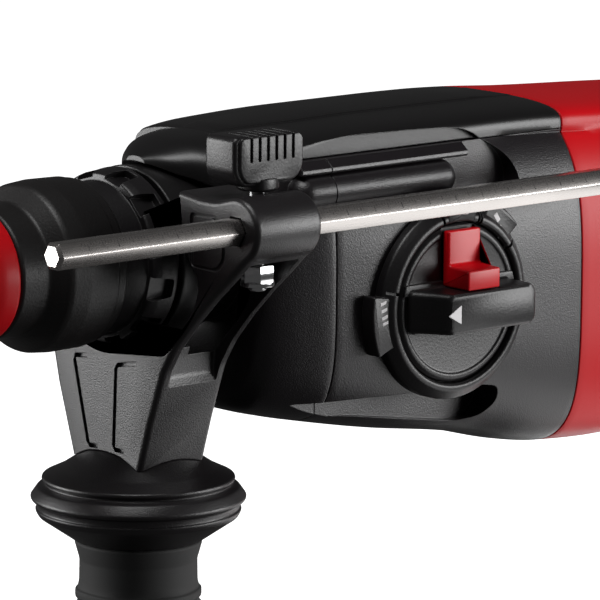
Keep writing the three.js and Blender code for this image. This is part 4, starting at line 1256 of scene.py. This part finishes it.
class Interior:
    """Finishes for the CAD nodes that stay, by the first word found in a node's name."""

    finishes = {
        "coil": COPPER, "commutator": COPPER, "brush_holder": ALLOY, "carbon": CARBON, "fan": NYLON,
        "piston": ALLOY, "plate": ALLOY, "flange": ALLOY, "switch": HOUSING_BLACK, "housing": HOUSING_BLACK,
        "cover": COVER_BLACK, "shell": HOUSING_RED,
    }

    def build(self) -> None:
        """Gives every CAD node a finish, steel when no word fits."""
        for name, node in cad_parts.items():
            finish = next((f for word, f in self.finishes.items() if word in name), STEEL)
            node.data.materials.clear()
            node.data.materials.append(finish.material())
        log.info("interior: %d nodes dressed", len(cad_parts))


@dataclass(frozen=True)
class Softbox:
    """A rectangular light aimed at a point.

    Attributes:
        name: the light's name.
        target: the point it is aimed at, in metres.
        offset: from the target to the light, in metres.
        size: its two sides, in metres.
        watts: its power.
    """

    name: str
    target: tuple[float, float, float]
    offset: tuple[float, float, float]
    size: Pair
    watts: float

    def build(self) -> None:
        """Adds the light, unseen by the camera."""
        data = bpy.data.lights.new(self.name, "AREA")
        data.shape = "RECTANGLE"
        data.size, data.size_y = self.size
        data.energy = self.watts
        light = bpy.data.objects.new(self.name, data)
        offset = Vector(self.offset)
        light.location = Vector(self.target) + offset
        light.rotation_euler = (-offset).to_track_quat("-Z", "Y").to_euler()
        light.visible_camera = False
        bpy.context.scene.collection.objects.link(light)


TOOL_MIDDLE = (0.06, 0, 0.17)
ROD_MIDDLE = (0.08, -0.056, 0.19)


@dataclass
class Studio:
    """Camera, floor, world and lights."""

    azimuth: float = 41.67
    elevation: float = 10.21
    roll: float = -0.39
    lens: float = 316.2
    station: tuple[float, float, float] = (-0.91567, -1.09555, 0.42185)
    lights: Sequence[Softbox] = (
        Softbox("right_light", TOOL_MIDDLE, (0.86, -0.86, 0.12), (0.80, 0.50), 12),
        Softbox("rear_light", TOOL_MIDDLE, (-0.84, 0.94, 0.10), (0.7, 0.7), 13),
        Softbox("top_light", TOOL_MIDDLE, (-0.42, -0.12, 1.15), (0.6, 0.5), 8),
        Softbox("rod_light", ROD_MIDDLE, (0.165, -0.054, -0.182), (0.50, 0.12), 0.30),
    )

    def build(self) -> None:
        """Sets the studio up."""
        scene = bpy.context.scene
        scene.view_settings.view_transform = "Standard"
        scene.view_settings.look = "None"
        self.camera(scene)
        self.world(scene)
        self.floor(scene)
        for light in self.lights:
            light.build()

    def camera(self, scene: bpy.types.Scene) -> None:
        """Long-lens view from the nose's left, a little above."""
        a, e, r = (math.radians(v) for v in (self.azimuth, self.elevation, self.roll))
        look = Vector((math.sin(a) * math.cos(e), math.cos(a) * math.cos(e), -math.sin(e)))
        right = Vector((math.cos(a), -math.sin(a), 0))
        up = right.cross(look)
        right, up = right * math.cos(r) - up * math.sin(r), right * math.sin(r) + up * math.cos(r)
        data = bpy.data.cameras.new("studio_camera")
        data.lens = self.lens
        data.sensor_width = 36
        data.clip_start = 0.05
        data.clip_end = 60
        camera = bpy.data.objects.new("studio_camera", data)
        rotation = Matrix((right, up, -look)).transposed().to_4x4()
        camera.matrix_world = Matrix.Translation(self.station) @ rotation
        scene.collection.objects.link(camera)
        scene.camera = camera

    def world(self, scene: bpy.types.Scene) -> None:
        """Faint white surround."""
        world = bpy.data.worlds.new("studio_world")
        world.use_nodes = True
        world.node_tree.nodes["Background"].inputs["Color"].default_value = (1, 1, 1, 1)
        world.node_tree.nodes["Background"].inputs["Strength"].default_value = 0.05
        scene.world = world

    def floor(self, scene: bpy.types.Scene) -> None:
        """Wide pale floor that glows evenly and lights nothing on the tool."""
        rows, size = 24, 12.0
        mesh = bpy.data.meshes.new("studio_floor")
        bm = bmesh.new()
        bmesh.ops.create_grid(bm, x_segments=rows, y_segments=rows, size=size)
        bm.to_mesh(mesh)
        bm.free()
        floor = bpy.data.objects.new("studio_floor", mesh)
        floor.location.z = -0.0002
        scene.collection.objects.link(floor)
        material = bpy.data.materials.new("floor_paper")
        material.use_nodes = True
        tree = material.node_tree
        shader = tree.nodes["Principled BSDF"]
        for name, value in (("Roughness", 0.9), ("Specular IOR Level", 0.0), ("Emission Color", (1, 1, 1, 1)),
                            ("Emission Strength", 1.0)):
            shader.inputs[name].default_value = value
        fibres = new_node(tree, "ShaderNodeTexNoise", {"Scale": 3.0})
        paper = {"A": (0.80, 0.80, 0.80, 1), "B": (0.84, 0.84, 0.84, 1)}
        mix = new_node(tree, "ShaderNodeMix", paper, data_type="RGBA")
        tree.links.new(fibres.outputs["Fac"], mix.inputs["Factor"])
        tree.links.new(mix.outputs["Result"], shader.inputs["Base Color"])
        mesh.materials.append(material)
        floor.visible_diffuse = False
        floor.visible_glossy = False


def main() -> None:
    """Builds the sub-assemblies in order."""
    logging.basicConfig(level=logging.INFO, format="%(name)s: %(message)s")
    selector = ModeSelector()
    Housings().build((selector.x, selector.z))
    PistolGrip().build()
    Chuck().build()
    selector.build()
    SideHandle().build()
    Interior().build()
    Studio().build()


if __name__ == "__main__":
    main()
